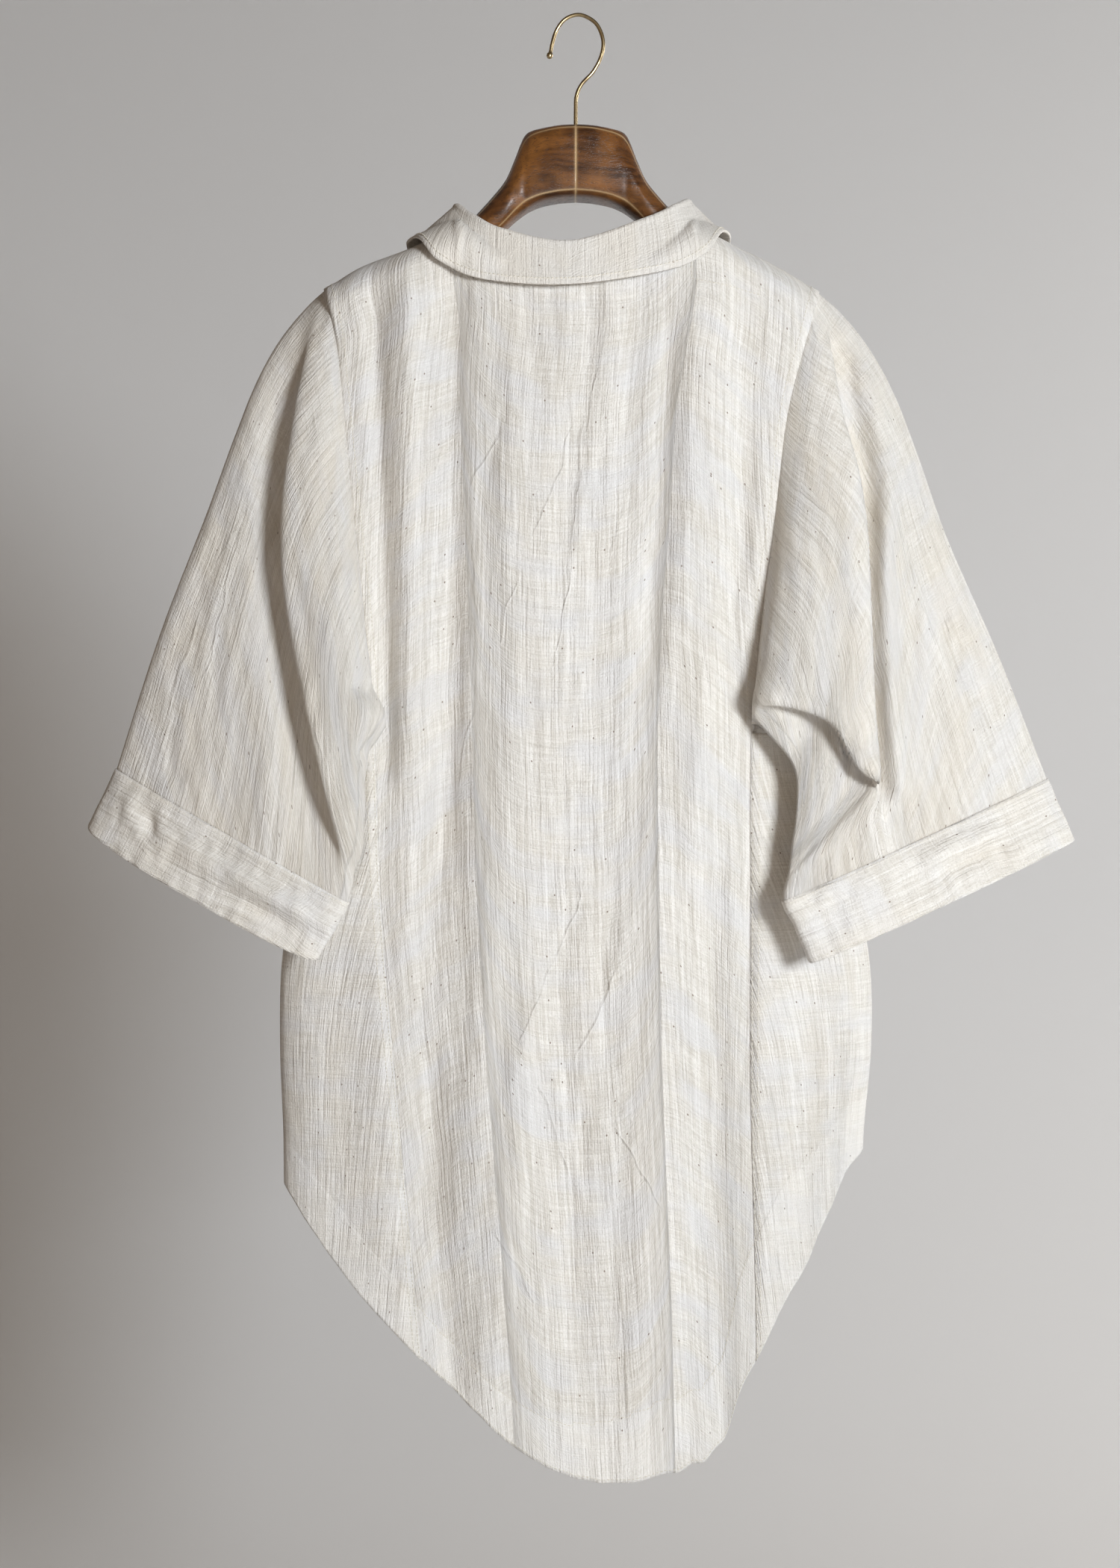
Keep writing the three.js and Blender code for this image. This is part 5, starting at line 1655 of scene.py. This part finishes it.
def shell():
    material, tree, shader = new_material("pale shell")
    body = object_places(tree)
    layers = add_node(tree, "TexWave", Vector=body, Scale=130.0, Distortion=6.0).outputs["Fac"]
    cloud = ramp(tree, noise(tree, body, 160.0, 3.0), 0.3, 0.7)
    feed(
        tree,
        shader,
        Base_Color=colour_mix(tree, cloud, SHELL_PALE, SHELL_DARK),
        Roughness=maths(tree, "ADD", times(tree, layers, 0.12), 0.2),
        Normal=bumped(tree, layers, 0.15, 0.0002),
    )
    return material


polished_shell = shell()
for number in range(1, BUTTON_COUNT + 1):
    low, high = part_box(f"button_{number}")
    centre = np.array((low + high) / 2) / MM
    turn = np.linspace(0, 2 * math.pi, BUTTON_SIDES, endpoint=False)[None, :]
    radius = BUTTON_RADIUS * np.array([row["r"] for row in BUTTON_PROFILE])[:, None]
    rise = BUTTON_THICK * (np.array([row["rise"] for row in BUTTON_PROFILE])[:, None] - 0.5)
    points = centre + point(radius * np.cos(turn), rise + 0 * turn, radius * np.sin(turn))
    places = closed_up(np.stack([points[..., 0], points[..., 2]], axis=-1))
    button = grid_mesh(f"shell_button_{number}", points[:, ::-1], places[:, ::-1], closed=True, caps=True)
    button.data.materials.append(polished_shell)
    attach(button, "root")
    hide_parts(f"button_{number}")
    for side in (-1, 1):
        along = np.linspace(-0.5, 0.5, 9) * THREAD_BAR
        bar = centre + point(side * THREAD_APART / 2, 0.1 * BUTTON_THICK, along)
        for strand in STRANDS_ASIDE:
            stitch(bar + point(strand, 0, 0 * bar[:, 0]), point(0 * bar[:, 0], 1, 0), pitch=0.7 * THREAD_BAR)
thread_mesh("thread_of_the_buttons")


# The studio: a pale floor that sweeps up behind, and soft lamps. The key stands to the right, a little
# above the shirt's middle, because the photograph's shadows fall to the left. Two weak lamps fill them,
# and the lamp beyond lights the shirt's front, which faces away from the camera.
FLOOR_Z = -1.72
SWEEP_START = 1.3
SWEEP_RADIUS = 0.9
FLOOR_HALF = 5.0
FLOOR_NEAR = -4.0
SWEEP_TOP = 4.0
SWEEP_STEPS = 24
PAINT = (0.88, 0.87, 0.86, 1)
profile = [(FLOOR_NEAR, FLOOR_Z), (SWEEP_START, FLOOR_Z)]
for k in range(1, SWEEP_STEPS + 1):
    turn = math.radians(90) * k / SWEEP_STEPS
    height = FLOOR_Z + SWEEP_RADIUS * (1 - math.cos(turn))
    profile.append((SWEEP_START + SWEEP_RADIUS * math.sin(turn), height))
profile.append((SWEEP_START + SWEEP_RADIUS, SWEEP_TOP))
floor_mesh = bpy.data.meshes.new("studio_floor")
corners = [(x, y, z) for y, z in profile for x in (-FLOOR_HALF, FLOOR_HALF)]
strips = [(2 * k, 2 * k + 1, 2 * k + 3, 2 * k + 2) for k in range(len(profile) - 1)]
floor_mesh.from_pydata(corners, [], strips)
floor_mesh.shade_smooth()
floor = add_object("studio_floor", floor_mesh)
paint, paint_tree, paint_shader = new_material("pale studio paint")
feed(paint_tree, paint_shader, Base_Color=PAINT, Roughness=0.9)
# The sweep is seen from its inner side only, so the shirt can be looked at from behind it too.
behind = add_node(paint_tree, "NewGeometry").outputs["Backfacing"]
through = add_node(paint_tree, "BsdfTransparent").outputs[0]
either = add_node(paint_tree, "MixShader", i0=behind, i1=paint_shader.outputs[0], i2=through)
feed(paint_tree, paint_tree.nodes["Material Output"], Surface=either.outputs[0])
floor.data.materials.append(paint)

SHIRT_MIDDLE = Vector((0.0, 0.0, -0.66))
ROOM_COLOUR = (1.0, 0.84, 0.68, 1)
ROOM_STRENGTH = 0.1
LAMPS = table(
    "name at size power colour",
    ("key", (1.45, -2.5, -0.25), 0.62, 83, (0.89, 0.945, 1.0)),
    ("fill", (-2.0, -2.4, -0.4), 2.4, 3, (1.0, 0.62, 0.34)),
    ("beyond", (2.5, 2.0, 0.2), 1.2, 45, (1.0, 0.97, 0.93)),
    ("front", (0.4, -3.0, 0.2), 1.8, 3, (1.0, 0.74, 0.5)),
)
for lamp in LAMPS:
    data = bpy.data.lights.new(lamp["name"], "AREA")
    data.energy = lamp["power"]
    data.size = lamp["size"]
    data.color = lamp["colour"]
    light = add_object(lamp["name"], data)
    light.location = lamp["at"]
    light.rotation_euler = (SHIRT_MIDDLE - light.location).to_track_quat("-Z", "Y").to_euler()
world = bpy.data.worlds.new("soft room")
world.use_nodes = True
feed(world.node_tree, world.node_tree.nodes["Background"], Color=ROOM_COLOUR, Strength=ROOM_STRENGTH)
bpy.context.scene.world = world
bpy.context.scene.view_settings.view_transform = "Standard"

# The camera stands level behind the shirt, as the photograph's did, at two metres.
CAMERA_AT = (-0.013, -2.0, -0.637)
SENSOR_WIDE = 36
LENS = 55.3
camera_data = bpy.data.cameras.new("camera")
camera_data.sensor_width = SENSOR_WIDE
camera_data.lens = LENS
camera = add_object("camera", camera_data)
camera.location = CAMERA_AT
camera.rotation_euler = (math.radians(90), 0, 0)
bpy.context.scene.camera = camera

bpy.context.view_layer.update()
